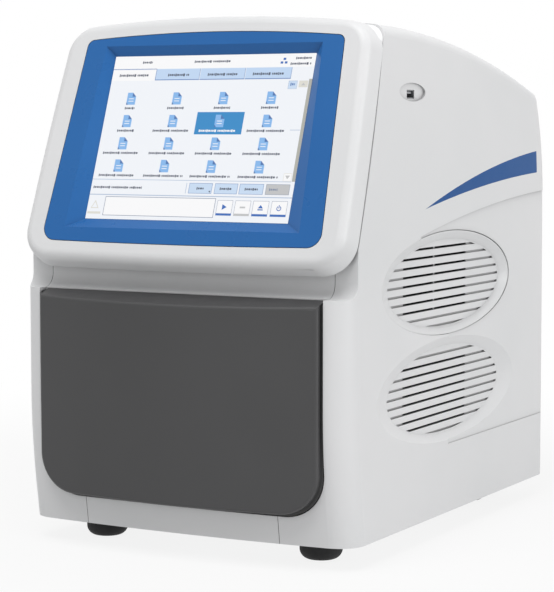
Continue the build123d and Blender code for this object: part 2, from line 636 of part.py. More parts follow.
def make_display():
    """Bezel, coloured surround, touch panel and its board, stacked in the tilted plane."""
    with BuildPart() as bezel:
        add(rim_outline(0, 0.8 - RIM_BACK))
        add(rim_outline(BEZEL_DRAFT, BEZEL_FRONT))
        loft()
        front = bezel.faces().sort_by_distance(glass.from_local_coords((0, 0, 3 * BEZEL_FRONT)))[0]
        fillet(front.edges(), BEZEL_EDGE_R)
        add(rim_outline(WALL, 0.8 - RIM_BACK))
        add(rim_outline(WALL + BEZEL_DRAFT + BEZEL_EDGE_R / 3, BEZEL_FRONT - WALL))
        loft(mode=Mode.SUBTRACT)
        add(surround_outline(SURROUND_GAP, -RIM_BACK))
        extrude(amount=2 * RIM_BACK, dir=glass.z_dir, mode=Mode.SUBTRACT)
        # A ledge behind the opening carries the surround
        ledge_top = BEZEL_FRONT - SURROUND_THICK
        add(surround_outline(WALL, ledge_top - WALL))
        extrude(amount=SURROUND_THICK, dir=glass.z_dir)
        add(surround_outline(SURROUND_GAP, ledge_top))
        extrude(amount=SURROUND_THICK, dir=glass.z_dir, mode=Mode.SUBTRACT)
        with BuildSketch(glass.offset(ledge_top - 2 * WALL)):
            Rectangle(PANEL_W + 2 * SURROUND_GAP, PANEL_H + 2 * SURROUND_GAP)
        extrude(amount=3 * WALL, mode=Mode.SUBTRACT)
    keep("display_bezel", bezel.part)

    back = BEZEL_FRONT - SURROUND_THICK
    with BuildPart() as surround:
        add(surround_outline(0, back))
        extrude(amount=SURROUND_THICK, dir=glass.z_dir)
        with BuildSketch(glass.offset(back)):
            Rectangle(SCREEN_W, SCREEN_H)
        with BuildSketch(glass.offset(BEZEL_FRONT + 0.01)) as mouth:
            with BuildLine():
                Polyline(
                    (-BEVEL_HALF_TOP, BEVEL_UP),
                    (BEVEL_HALF_TOP, BEVEL_UP),
                    (BEVEL_HALF_BOTTOM, -BEVEL_DOWN),
                    (-BEVEL_HALF_BOTTOM, -BEVEL_DOWN),
                    close=True,
                )
            make_face()
        loft(mode=Mode.SUBTRACT)
    keep("screen_surround", surround.part)

    with BuildPart() as panel:
        with BuildSketch(glass.offset(back)):
            RectangleRounded(PANEL_W, PANEL_H, WALL)
        extrude(amount=-PANEL_THICK)
        chamfer(panel.faces().sort_by_distance(glass.from_local_coords((0, 0, -40)))[0].edges(), 1)
    keep("touch_panel", panel.part)

    board_face = back - PANEL_THICK - BOARD_GAP
    with BuildPart() as board:
        with BuildSketch(glass.offset(board_face)):
            RectangleRounded(BOARD_W, BOARD_H, WALL)
        extrude(amount=-BOARD_THICK)
        with BuildSketch(glass.offset(board_face)):
            with GridLocations(BOARD_W - 4 * WALL, BOARD_H - 4 * WALL, 2, 2):
                Circle(WALL)
        extrude(amount=BOARD_GAP)
        with BuildSketch(glass.offset(board_face - BOARD_THICK)):
            for x, y, w, h in BOARD_CHIPS:
                with Locations((x, y)):
                    Rectangle(w, h)
        extrude(amount=-BOARD_CHIP_H)
    keep("display_board", board.part)


def make_base():
    """Base plate, feet and the screws that go up through it."""
    with BuildPart() as base:
        add(plan_section(CHIN_Y + WALL + SEAM, WALL + SEAM, BODY_Z))
        extrude(amount=SHEET)
        fillet(base.edges().filter_by(Axis.Z).group_by(Axis.Y)[-1], EDGE_R)
        with BuildSketch(Plane.XY.offset(BODY_Z)):
            with GridLocations(0, BASE_SLOT_PITCH, 1, BASE_SLOTS):
                SlotOverall(BASE_SLOT_W, BASE_SLOT_H)
        extrude(amount=SHEET, mode=Mode.SUBTRACT)
        with Locations([(x, y, BODY_Z) for x in (-FOOT_X, FOOT_X) for y in (-FOOT_Y, FOOT_Y)]):
            Cylinder(SCREW_R + FIT, 4 * SHEET, mode=Mode.SUBTRACT)
        with Locations([(s * (INNER_X - BOSS / 2), y, BODY_Z) for s in (-1, 1) for y in BOSS_YS]):
            Cylinder(SCREW_R + FIT, 4 * SHEET, mode=Mode.SUBTRACT)
    keep("base_plate", base.part)

    seat_z = FOOT_H / 2
    with BuildPart() as foot:
        with BuildSketch(Plane.XZ):
            with BuildLine():
                Line((0, 0), (FOOT_R - FOOT_ROUND, 0))
                ThreePointArc(
                    (FOOT_R - FOOT_ROUND, 0),
                    (FOOT_R - FOOT_ROUND * 0.3, FOOT_ROUND * 0.3),
                    (FOOT_R, FOOT_ROUND),
                )
                Polyline((FOOT_R, FOOT_ROUND), (FOOT_R, FOOT_H), (0, FOOT_H), (0, 0))
            make_face()
        revolve(axis=Axis.Z)
        with Locations((0, 0, seat_z)):
            CounterBoreHole(SCREW_R + FIT, SCREW_HEAD_R + 1, 0, depth=FOOT_H)
        with Locations((0, 0, seat_z / 2)):
            Cylinder(SCREW_HEAD_R + 1, seat_z, mode=Mode.SUBTRACT)
        Cylinder(SCREW_R + FIT, 4 * FOOT_H, mode=Mode.SUBTRACT)
    places = [(x, y) for x in (-FOOT_X, FOOT_X) for y in (-FOOT_Y, FOOT_Y)]
    with BuildPart() as feet:
        with Locations(*[(x, y, 0) for x, y in places]):
            add(foot.part)
    keep("feet", feet.part)

    with BuildPart() as foot_screws:
        with Locations(*[(x, y, seat_z - SCREW_HEAD_H / 2) for x, y in places]):
            Cylinder(SCREW_HEAD_R, SCREW_HEAD_H)
        with Locations(*[(x, y, (seat_z + base_top + 2 * SHEET) / 2) for x, y in places]):
            Cylinder(SCREW_R, base_top + 2 * SHEET - seat_z)
        with Locations(*[(x, y, base_top + SHEET) for x, y in places]):
            Cylinder(SCREW_HEAD_R, 2 * SHEET)
    keep("foot_screws", foot_screws.part)

    spots = [(s * (INNER_X - BOSS / 2), y) for s in (-1, 1) for y in BOSS_YS]
    with BuildPart() as cover_screws:
        with Locations(*[(x, y, BODY_Z - SCREW_HEAD_H / 2) for x, y in spots]):
            Cylinder(SCREW_HEAD_R, SCREW_HEAD_H)
        with Locations(*[(x, y, BODY_Z + BOSS_H / 3) for x, y in spots]):
            Cylinder(SCREW_R - 0.2, 2 * BOSS_H / 3)
    keep("cover_screws", cover_screws.part)


def make_frame():
    """Two side frames on the base plate and the deck that they carry."""
    for name, sign in (("side_frame_left", -1), ("side_frame_right", 1)):
        with BuildPart() as frame:
            with BuildSketch(side(sign * FRAME_X)) as outline:
                with BuildLine():
                    Polyline(
                        (FRAME_Y0, base_top),
                        (FRAME_Y1, base_top),
                        (FRAME_Y1, deck_low),
                        (FRAME_Y0, deck_low),
                        close=True,
                    )
                make_face()
                fillet(outline.vertices().group_by(Axis.Y)[-1], EDGE_R)
                with Locations((DISC_Y, LOWER_Z + WALL)):
                    SlotOverall(WINDOW_Y1 - WINDOW_Y0, WINDOW_H * 0.6, mode=Mode.SUBTRACT)
            extrude(amount=-sign * SHEET)
            flange = bar(FRAME_X, FRAME_X + 3 * SHEET, FRAME_Y0, FRAME_Y1, base_top, base_top + SHEET)
            if sign < 0:
                flange = flange.mirror(Plane.YZ)
            add(flange)
            # Notches clear the nuts over the feet
            for y in (-FOOT_Y, FOOT_Y):
                x = sign * FOOT_X
                add(bar(x - 7, x + 7, y - 7, y + 7, BODY_Z, base_top + 4 * SHEET), mode=Mode.SUBTRACT)
        keep(name, frame.part)

    with BuildPart() as deck:
        with BuildSketch(Plane.XY.offset(deck_low)):
            with Locations((0, (DECK_Y0 + DECK_Y1) / 2)):
                RectangleRounded(2 * FRAME_X, DECK_Y1 - DECK_Y0, 2 * WALL)
            with Locations((0, BLOCK_Y)):
                Rectangle(LIGHT_W, LIGHT_D, mode=Mode.SUBTRACT)
            with Locations((0, (OPTICS_Y1 + BRACKET_Y) / 2)):
                Rectangle(LIGHT_W, 20, mode=Mode.SUBTRACT)
        extrude(amount=DECK_THICK)
    keep("optics_deck", deck.part)


def door_form(inset):
    """The drawer front's bowed form, drawn in by inset on its outer sides."""
    half = DOOR_HALF - inset
    front = DOOR_FRONT_Y + inset
    wide = half + WALL
    side_y = front + DOOR_BOW * (wide / DOOR_HALF) ** 2
    top = DOOR_TOP - inset
    with BuildPart() as form:
        with BuildSketch(facing_front(DOOR_BACK_Y)) as outline:
            with BuildLine():
                low = DOOR_BOTTOM + inset
                Polyline((half, low + 2), (half, top), (-half, top), (-half, low + 2))
                ThreePointArc((-half, low + 2), (0, low), (half, low + 2))
            make_face()
            fillet(outline.vertices().group_by(Axis.Y)[0], DOOR_CORNER_R - inset)
        extrude(amount=2 * CORNER_R)
        with BuildSketch():
            with BuildLine():
                ThreePointArc((-wide, side_y), (0, front), (wide, side_y))
                Polyline((wide, side_y), (wide, DOOR_BACK_Y), (-wide, DOOR_BACK_Y), (-wide, side_y))
            make_face()
        extrude(amount=FORM_TOP, mode=Mode.INTERSECT)
        # The top edge falls away to the front as a bevel
        drop = (DOOR_BACK_Y - front) * sin(radians(DOOR_BEVEL)) / cos(radians(DOOR_BEVEL))
        with BuildSketch(Plane.YZ):
            with BuildLine():
                Polyline((DOOR_BACK_Y, top), (front, top - drop), (front, top + 1), (DOOR_BACK_Y, top + 1), close=True)
            make_face()
        extrude(amount=BODY_W, both=True, mode=Mode.SUBTRACT)
    return form.part


def rail_profile(sign):
    """The moving rail's T section and the fixed track's lipped channel round it, on one side."""
    half_h = TRACK_H / 2
    track_back = FRAME_X - SHEET
    channel = track_back - TRACK_SHEET
    mouth = TRAY_HALF + 2 * TRACK_LIP - WALL
    head_h = half_h - TRACK_SHEET - RUNNING
    with BuildSketch(facing_front(RAIL_Y0)) as rail:
        with BuildLine():
            Polyline(
                (TRAY_HALF, RAIL_Z - 2 * TRACK_LIP),
                (mouth + TRACK_SHEET + RUNNING, RAIL_Z - 2 * TRACK_LIP),
                (mouth + TRACK_SHEET + RUNNING, RAIL_Z - head_h),
                (channel - RUNNING, RAIL_Z - head_h),
                (channel - RUNNING, RAIL_Z + head_h),
                (mouth + TRACK_SHEET + RUNNING, RAIL_Z + head_h),
                (mouth + TRACK_SHEET + RUNNING, RAIL_Z + 2 * TRACK_LIP),
                (TRAY_HALF, RAIL_Z + 2 * TRACK_LIP),
                close=True,
            )
        make_face()
        if sign < 0:
            mirror(about=Plane.YZ, mode=Mode.REPLACE)
    with BuildSketch(facing_front(TRACK_Y0)) as track:
        with BuildLine():
            low = half_h - TRACK_LIP
            Polyline(
                (mouth, RAIL_Z - half_h),
                (track_back, RAIL_Z - half_h),
                (track_back, RAIL_Z + half_h),
                (mouth, RAIL_Z + half_h),
                (mouth, RAIL_Z + low),
                (mouth + TRACK_SHEET, RAIL_Z + low),
                (mouth + TRACK_SHEET, RAIL_Z + half_h - TRACK_SHEET),
                (channel, RAIL_Z + half_h - TRACK_SHEET),
                (channel, RAIL_Z - half_h + TRACK_SHEET),
                (mouth + TRACK_SHEET, RAIL_Z - half_h + TRACK_SHEET),
                (mouth + TRACK_SHEET, RAIL_Z - low),
                (mouth, RAIL_Z - low),
                close=True,
            )
        make_face()
        if sign < 0:
            mirror(about=Plane.YZ, mode=Mode.REPLACE)
    return rail.sketch, track.sketch


def make_drawer():
    """The motor drawer: bowed front, tray, rails, block with its heat pump and heat sink."""
    boss_spots = [(x, z) for x in (-70, 70) for z in (TRAY_Z + 20, TRAY_Z + TRAY_FRONT_H - 14)]
    with BuildPart() as front:
        add(door_form(0))
        rim_edges = front.faces().filter_by(GeomType.CYLINDER).sort_by(Axis.Y)[0].edges()
        fillet(rim_edges.sort_by(Axis.Z)[:-1], DOOR_EDGE_R)
        add(door_form(DOOR_WALL), mode=Mode.SUBTRACT)
        with BuildSketch(facing_front(DOOR_BACK_Y)):
            with Locations(*boss_spots):
                Circle(6)
        extrude(amount=DOOR_BACK_Y - DOOR_FRONT_Y - DOOR_WALL)
        with BuildSketch(facing_front(DOOR_BACK_Y)):
            with Locations(*boss_spots):
                Circle(SCREW_R)
        extrude(amount=10, mode=Mode.SUBTRACT)
    keep("drawer_front", front.part)

    tray_top = TRAY_Z + TRAY_SIDE_H
    with BuildPart() as tray:
        with BuildSketch(facing_front(DOOR_BACK_Y + SHEET)):
            with BuildLine():
                Polyline(
                    (-TRAY_HALF, tray_top),
                    (-TRAY_HALF, TRAY_Z),
                    (TRAY_HALF, TRAY_Z),
                    (TRAY_HALF, tray_top),
                    (TRAY_HALF - SHEET, tray_top),
                    (TRAY_HALF - SHEET, TRAY_Z + SHEET),
                    (SHEET - TRAY_HALF, TRAY_Z + SHEET),
                    (SHEET - TRAY_HALF, tray_top),
                    close=True,
                )
            make_face()
        extrude(amount=DOOR_BACK_Y + SHEET - TRAY_END_Y)
        with BuildSketch(facing_front(DOOR_BACK_Y)):
            with Locations((0, TRAY_Z + TRAY_FRONT_H / 2)):
                RectangleRounded(2 * TRAY_HALF, TRAY_FRONT_H, WALL)
            with Locations(*boss_spots):
                Circle(SCREW_R, mode=Mode.SUBTRACT)
        extrude(amount=-SHEET)
        with BuildSketch(Plane.XY.offset(TRAY_Z)):
            with Locations((0, BLOCK_Y)):
                RectangleRounded(SINK_W - 8 * WALL, SINK_D - 4 * WALL, WALL)
        extrude(amount=SHEET, mode=Mode.SUBTRACT)
    keep("drawer_tray", tray.part)

    rail_sections = [rail_profile(sign) for sign in (-1, 1)]
    with BuildPart() as rails:
        for section, other in rail_sections:
            add(section)
        extrude(amount=RAIL_Y1 - RAIL_Y0, dir=(0, 1, 0))
    keep("drawer_rails", rails.part)
    with BuildPart() as tracks:
        for other, section in rail_sections:
            add(section)
        extrude(amount=TRACK_Y1 - TRACK_Y0, dir=(0, 1, 0))
    keep("rail_tracks", tracks.part)

    plate_top = block_top - DECK_PLATE_DROP
    skirt_y0 = DOOR_BACK_Y + SHEET + 1
    skirt_y1 = TRAY_END_Y - 2
    with BuildPart() as deck_plate:
        add(bar(-TRAY_HALF, TRAY_HALF, skirt_y0, skirt_y1, tray_top, plate_top))
        fillet(deck_plate.edges().filter_by(Axis.Z), 2 * WALL)
        fillet(deck_plate.faces().sort_by(Axis.Z)[-1].edges(), 2)
        inside = (WALL - TRAY_HALF, TRAY_HALF - WALL, skirt_y0 + WALL, skirt_y1 - WALL)
        add(bar(*inside, 0, plate_top - DECK_PLATE_THICK), mode=Mode.SUBTRACT)
        with BuildSketch(Plane.XY.offset(plate_top - DECK_PLATE_THICK)):
            with Locations((0, BLOCK_Y)):
                RectangleRounded(BLOCK_W + 2, BLOCK_D + 2, WALL)
        extrude(amount=2 * DECK_PLATE_THICK, mode=Mode.SUBTRACT)
        # An air slot at the rear lets the fan blow out
        with BuildSketch(facing_front(skirt_y1)):
            with Locations((0, (tray_top + plate_top) / 2)):
                Rectangle(SINK_W, (plate_top - tray_top) * 0.5)
        extrude(amount=2 * WALL, mode=Mode.SUBTRACT)
    keep("drawer_deck", deck_plate.part)

    with BuildPart() as block:
        with BuildSketch(Plane.XY.offset(BLOCK_Z)):
            with Locations((0, BLOCK_Y)):
                RectangleRounded(BLOCK_W, BLOCK_D, WALL)
        extrude(amount=BLOCK_H)
        with Locations((0, BLOCK_Y, block_top - WELL_DEPTH / 2)):
            with GridLocations(WELL_PITCH, WELL_PITCH, WELL_COLUMNS, WELL_ROWS):
                Cone(WELL_TIP_R, WELL_R, WELL_DEPTH, mode=Mode.SUBTRACT)
    keep("thermal_block", block.part)

    with BuildPart() as peltiers:
        with Locations((0, BLOCK_Y, BLOCK_Z - PELTIER_THICK / 2)):
            with GridLocations(PELTIER + PELTIER_GAP, PELTIER + PELTIER_GAP, 3, 2):
                Box(PELTIER, PELTIER, PELTIER_THICK)
    keep("peltier_modules", peltiers.part)

    sink_top = BLOCK_Z - PELTIER_THICK
    fin_h = sink_top - SINK_BASE - TRAY_Z - SHEET
    with BuildPart() as sink:
        with Locations((0, BLOCK_Y, sink_top - SINK_BASE / 2)):
            Box(SINK_W, SINK_D, SINK_BASE)
        with Locations((0, BLOCK_Y, sink_top - SINK_BASE - fin_h / 2)):
            with GridLocations((SINK_W - FIN_THICK) / (FIN_COUNT - 1), 0, FIN_COUNT, 1):
                Box(FIN_THICK, SINK_D, fin_h)
    keep("heat_sink", sink.part)

    fan_y = BLOCK_Y + SINK_D / 2 + SINK_FAN_DEPTH / 2
    fan_z = TRAY_Z + SHEET + SINK_FAN_SIZE / 2
    keep("sink_fan_frame", fan_frame((0, fan_y, fan_z), SINK_FAN_SIZE, SINK_FAN_DEPTH))
    keep("sink_fan_rotor", fan_rotor((0, fan_y, fan_z), SINK_FAN_SIZE, SINK_FAN_DEPTH))

    make_drawer_drive()


def make_drawer_drive():
    """Motor, lead screw, front bearing and the nut under the tray."""
    motor_y = DRAWER_SCREW_Y1 - NUT_LENGTH / 2
    keep("drawer_motor", stepper(Plane(origin=(0, motor_y, SCREW_Z), z_dir=(0, 1, 0)), MOTOR_LENGTH))
    with BuildPart() as screw:
        with BuildSketch(facing_front(DRAWER_SCREW_Y0)):
            with Locations((0, SCREW_Z)):
                Circle(SCREW_SHAFT_R)
        extrude(amount=DRAWER_SCREW_Y0 - motor_y - NUT_LENGTH / 4)
    keep("drawer_screw", screw.part)
    with BuildPart() as bearing:
        with BuildSketch(facing_front(DRAWER_SCREW_Y0 + 1)) as outline:
            with BuildLine():
                half = 3 * SCREW_SHAFT_R
                Polyline((-half, base_top), (half, base_top), (half, SCREW_Z), (-half, SCREW_Z), close=True)
            make_face()
            with Locations((0, SCREW_Z)):
                Circle(half)
                Circle(SCREW_SHAFT_R + FIT, mode=Mode.SUBTRACT)
        extrude(amount=-2 * SCREW_SHAFT_R)
    keep("screw_bearing", bearing.part)
    with BuildPart() as nut:
        with BuildSketch(facing_front(TRAY_END_Y - 2 * SHEET)):
            with Locations((0, SCREW_Z)):
                Circle(2.5 * SCREW_SHAFT_R)
            with Locations((0, (SCREW_Z + TRAY_Z) / 2)):
                Rectangle(5 * SCREW_SHAFT_R, TRAY_Z - SCREW_Z)
            with Locations((0, SCREW_Z)):
                Circle(SCREW_SHAFT_R + FIT, mode=Mode.SUBTRACT)
        extrude(amount=NUT_LENGTH)
    keep("drawer_nut", nut.part)


def stepper(face, length):
    """A square stepper motor behind its mounting face, with a bore that takes the driven shaft."""
    with BuildPart() as motor:
        with BuildSketch(face):
            RectangleRounded(MOTOR_SIZE, MOTOR_SIZE, 4)
            Circle(SCREW_SHAFT_R + FIT, mode=Mode.SUBTRACT)
        extrude(amount=length)
        with BuildSketch(face.offset(NUT_LENGTH / 2)):
            Circle(SCREW_SHAFT_R + 1)
        extrude(amount=length - NUT_LENGTH / 2)
        with BuildSketch(face.offset(length * 0.3)):
            RectangleRounded(MOTOR_SIZE + 2, MOTOR_SIZE + 2, 4)
            RectangleRounded(MOTOR_SIZE - 1, MOTOR_SIZE - 1, 4, mode=Mode.SUBTRACT)
        extrude(amount=length * 0.4, mode=Mode.SUBTRACT)
    return motor.part


def fan_frame(centre, size, depth):
    """A square fan frame blowing along Y, with its hub carried on four struts at the rear."""
    face = Plane(origin=(centre[0], centre[1] - depth / 2, centre[2]), x_dir=(1, 0, 0), z_dir=(0, 1, 0))
    with BuildPart() as frame:
        with BuildSketch(face):
            RectangleRounded(size, size, size / 16)
            Circle(size * 0.47, mode=Mode.SUBTRACT)
        extrude(amount=depth)
        with BuildSketch(face.offset(depth - 3)):
            with PolarLocations(0, 4, start_angle=45):
                with Locations((size * 0.25, 0)):
                    Rectangle(size * 0.5, size / 20)
            Circle(size * 0.2)
        extrude(amount=3)
        with BuildSketch(face):
            Circle(size * 0.03 + FIT)
        extrude(amount=depth, mode=Mode.SUBTRACT)
    return frame.part


def fan_rotor(centre, size, depth):
    """Hub, shaft stub and pitched blades that turn inside the frame."""
    face = Plane(origin=(centre[0], centre[1] - depth / 2 + 1, centre[2]), x_dir=(1, 0, 0), z_dir=(0, 1, 0))
    length = depth - 5
    hub_r = size * 0.2
    tip_r = size * 0.45
    with BuildPart() as rotor:
        with Locations(face.offset(length / 2)):
            with PolarLocations((hub_r + tip_r) / 2, FAN_BLADES):
                Box(tip_r - hub_r + 6, length * 1.25, 1.6, rotation=(38, 0, 0))
            Cylinder(tip_r, length * 0.9, mode=Mode.INTERSECT)
            Cylinder(hub_r, length)
        with Locations(face.offset(length + 2)):
            Cylinder(size * 0.03, 4)
    return rotor.part


def make_lid():
    """Heated plate in its frame, the posts it slides on and its screw drive under the deck."""
    with BuildPart() as plate:
        with Locations((0, BLOCK_Y, lid_z + PLATE_THICK / 2)):
            Box(BLOCK_W, BLOCK_D, PLATE_THICK)
            with GridLocations(WELL_PITCH, WELL_PITCH, WELL_COLUMNS, WELL_ROWS):
                Cylinder(LID_HOLE_R, PLATE_THICK, mode=Mode.SUBTRACT)
    keep("heated_plate", plate.part)

    frame_z = lid_z + 1
    ear_x = LID_W / 2 + LID_EAR / 2
    ear_y = LID_D / 2 - LID_EAR - 2
    posts = [(x, BLOCK_Y + y) for x in (-ear_x, ear_x) for y in (-ear_y, ear_y)]
    with BuildPart() as frame:
        with BuildSketch(Plane.XY.offset(frame_z)):
            with Locations((0, BLOCK_Y)):
                RectangleRounded(LID_W, LID_D, 2 * LID_WALL)
                Rectangle(BLOCK_W + 2 * RUNNING, BLOCK_D + 2 * RUNNING, mode=Mode.SUBTRACT)
        extrude(amount=PLATE_THICK - 1)
        with BuildSketch(Plane.XY.offset(frame_z + PLATE_THICK - 1)):
            with Locations((0, BLOCK_Y)):
                RectangleRounded(LID_W, LID_D, 2 * LID_WALL)
                Rectangle(BLOCK_W - 2 * LID_WALL, BLOCK_D - 2 * LID_WALL, mode=Mode.SUBTRACT)
        extrude(amount=LID_WALL)
        with BuildSketch(Plane.XY.offset(frame_z)):
            with Locations((0, BLOCK_Y)):
                RectangleRounded(LID_W, LID_D, 2 * LID_WALL)
                Rectangle(LID_W - 2 * LID_WALL, LID_D - 2 * LID_WALL, mode=Mode.SUBTRACT)
            with Locations(*posts):
                Circle(LID_EAR)
        extrude(amount=LID_H)
        rear = BLOCK_Y + LID_D / 2
        with BuildSketch(Plane.XY.offset(frame_z)):
            with Locations((0, (rear + LID_SCREW_Y) / 2)):
                Rectangle(LID_ARM_W, LID_SCREW_Y - rear + 2)
            with Locations((0, LID_SCREW_Y)):
                Circle(LID_ARM_W / 2)
        extrude(amount=LID_ARM_H)
        with Locations(*[(x, y, frame_z + LID_H / 2) for x, y in posts]):
            Cylinder(POST_R + FIT, 2 * LID_H, mode=Mode.SUBTRACT)
        with Locations((0, LID_SCREW_Y, frame_z)):
            Cylinder(SCREW_SHAFT_R + FIT, 4 * LID_ARM_H, mode=Mode.SUBTRACT)
    keep("lid_frame", frame.part)

    with BuildPart() as guide_posts:
        with BuildSketch(Plane.XY.offset(block_top + 2)):
            with Locations(*posts):
                Circle(POST_R)
        extrude(amount=deck_low - block_top - 2)
    keep("lid_posts", guide_posts.part)

    motor_face = Plane(origin=(0, LID_SCREW_Y, deck_low - LID_MOTOR_H))
    keep("lid_motor", stepper(motor_face, LID_MOTOR_H))
    with BuildPart() as screw:
        with BuildSketch(Plane.XY.offset(lid_z - LID_TRAVEL - 2 * LID_ARM_H)):
            with Locations((0, LID_SCREW_Y)):
                Circle(SCREW_SHAFT_R)
        extrude(amount=deck_low - LID_MOTOR_H + NUT_LENGTH / 4 - lid_z + LID_TRAVEL + 2 * LID_ARM_H)
    keep("lid_screw", screw.part)


def optics_profile(inset):
    """The optics housing's side view, with a front that slopes like the mirror behind it."""
    low, high = DECK_Z + inset, DECK_Z + OPTICS_H - inset
    slope = OPTICS_H - OPTICS_FRONT_H
    skew = inset * (sqrt(2) - 1)
    with BuildSketch(side(-OPTICS_HALF + inset)) as profile:
        with BuildLine():
            Polyline(
                (OPTICS_Y0 + inset, low),
                (OPTICS_Y0 + inset, DECK_Z + OPTICS_FRONT_H - skew),
                (OPTICS_Y0 + slope + skew, high),
                (OPTICS_Y1 - inset, high),
                (OPTICS_Y1 - inset, low),
                close=True,
            )
        make_face()
    return profile.sketch


def make_optics():
    """Light path over the block: lens, fold mirror, two filter wheels, lamp and camera."""
    with BuildPart() as housing:
        add(optics_profile(0))
        extrude(amount=2 * OPTICS_HALF - OPTICS_WALL, dir=(1, 0, 0))
        add(optics_profile(OPTICS_WALL))
        extrude(amount=2 * OPTICS_HALF, dir=(1, 0, 0), mode=Mode.SUBTRACT)
        with BuildSketch(Plane.XY.offset(DECK_Z)):
            with Locations((0, BLOCK_Y)):
                Rectangle(LIGHT_W, LIGHT_D)
        extrude(amount=2 * OPTICS_WALL, mode=Mode.SUBTRACT)
    keep("optics_housing", housing.part)
    with BuildPart() as cover:
        add(optics_profile(0).moved(Location((2 * OPTICS_HALF - OPTICS_WALL, 0, 0))))
        extrude(amount=OPTICS_WALL, dir=(1, 0, 0))
    keep("optics_cover", cover.part)

    with BuildPart() as lens:
        with BuildSketch(Plane.XY.offset(DECK_Z + OPTICS_WALL)):
            with Locations((0, BLOCK_Y)):
                RectangleRounded(LIGHT_W + 2 * WALL, LIGHT_D + 2 * WALL, WALL)
        extrude(amount=LENS_THICK)
    keep("field_lens", lens.part)

    slope = OPTICS_H - OPTICS_FRONT_H
    wall_mid = (OPTICS_Y0 + slope / 2, DECK_Z + OPTICS_FRONT_H + slope / 2)
    inward = Vector(0, 1, -1).normalized()
    seat = Vector(0, *wall_mid) + inward * OPTICS_WALL
    with BuildPart() as mirror_plate:
        with BuildSketch(Plane(origin=seat, x_dir=(1, 0, 0), z_dir=inward)):
            Rectangle(MIRROR_W, slope * sqrt(2) - 4 * WALL)
        extrude(amount=MIRROR_THICK)
    keep("fold_mirror", mirror_plate.part)

    floor = DECK_Z + OPTICS_WALL
    lamp_x = EXCITATION_X + FILTER_RING_R * cos(radians(EXCITATION_ANGLE))
    lamp_z = EXCITATION_Z + FILTER_RING_R * sin(radians(EXCITATION_ANGLE))
    camera_x = EMISSION_X - FILTER_RING_R
    with BuildPart() as bracket:
        with BuildSketch(facing_front(BRACKET_Y)):
            with Locations((0, floor + BRACKET_H / 2)):
                RectangleRounded(2 * OPTICS_HALF - 4 * WALL, BRACKET_H, 2 * WALL)
            with Locations((camera_x, EMISSION_Z)):
                Circle(BARREL_R + 1, mode=Mode.SUBTRACT)
            with Locations((lamp_x, lamp_z)):
                Circle(FILTER_R + 1, mode=Mode.SUBTRACT)
        extrude(amount=-WALL)
        add(bar(WALL * 2 - OPTICS_HALF, OPTICS_HALF - WALL * 2, BRACKET_Y - 5 * WALL, BRACKET_Y, floor, floor + WALL))
    keep("optics_bracket", bracket.part)

    with BuildPart() as camera:
        with BuildSketch(facing_front(BRACKET_Y + WALL)):
            with Locations((camera_x, EMISSION_Z)):
                RectangleRounded(CAMERA_SIZE, CAMERA_SIZE, WALL)
        extrude(amount=-CAMERA_DEPTH)
        with BuildSketch(facing_front(BRACKET_Y + WALL)):
            with Locations((camera_x, EMISSION_Z)):
                Circle(BARREL_R)
        extrude(amount=BARREL_LENGTH)
        with BuildSketch(facing_front(BRACKET_Y + WALL - BARREL_LENGTH)):
            with Locations((camera_x, EMISSION_Z)):
                Circle(BARREL_R - 2)
        extrude(amount=-2, mode=Mode.SUBTRACT)
    keep("camera", camera.part)

    with BuildPart() as lamp:
        lamp_back = BRACKET_Y + WALL
        with BuildSketch(facing_front(lamp_back)):
            with Locations((lamp_x, lamp_z)):
                RectangleRounded(LAMP_SIZE, LAMP_SIZE, WALL)
        extrude(amount=-LAMP_BASE)
        with BuildSketch(facing_front(lamp_back + LAMP_BASE)):
            with Locations((lamp_x, lamp_z)):
                with GridLocations(LAMP_FIN_PITCH, 0, LAMP_FINS, 1):
                    Rectangle(LAMP_FIN_THICK, LAMP_SIZE)
        extrude(amount=-LAMP_FIN_H)
        with BuildSketch(facing_front(lamp_back)):
            with Locations((lamp_x, lamp_z)):
                Circle(FILTER_R)
        extrude(amount=WALL)
    keep("led_module", lamp.part)

    wheels = (
        ("emission", EMISSION_X, EMISSION_Z, 180.0),
        ("excitation", EXCITATION_X, EXCITATION_Z, EXCITATION_ANGLE),
    )
    motors = []
    for name, x, z, angle in wheels:
        with BuildPart() as wheel:
            with BuildSketch(facing_front(WHEEL_Y)):
                with Locations((x, z)):
                    Circle(WHEEL_R)
                    with PolarLocations(FILTER_RING_R, FILTER_COUNT, start_angle=angle):
                        Circle(FILTER_R, mode=Mode.SUBTRACT)
            extrude(amount=-WHEEL_THICK)
            with BuildSketch(facing_front(WHEEL_Y)):
                with Locations((x, z)):
                    Circle(WALL)
            extrude(amount=-3 * WHEEL_THICK - WALL)
        keep(f"{name}_wheel", wheel.part)
        with BuildPart() as filters:
            with BuildSketch(facing_front(WHEEL_Y + 0.5)):
                with Locations((x, z)):
                    with PolarLocations(FILTER_RING_R, FILTER_COUNT, start_angle=angle):
                        Circle(FILTER_R)
            extrude(amount=1 - WHEEL_THICK)
        keep(f"{name}_filters", filters.part)
        motors.append((x, z))
    with BuildPart() as wheel_motors:
        with BuildSketch(facing_front(BRACKET_Y)):
            with Locations(*motors):
                Circle(WHEEL_MOTOR_R)
        extrude(amount=WHEEL_MOTOR_LENGTH)
        with BuildSketch(facing_front(BRACKET_Y - WHEEL_MOTOR_LENGTH)):
            with Locations(*motors):
                Circle(WALL + FIT)
        extrude(amount=-2 * WHEEL_THICK, mode=Mode.SUBTRACT)
    keep("wheel_motors", wheel_motors.part)


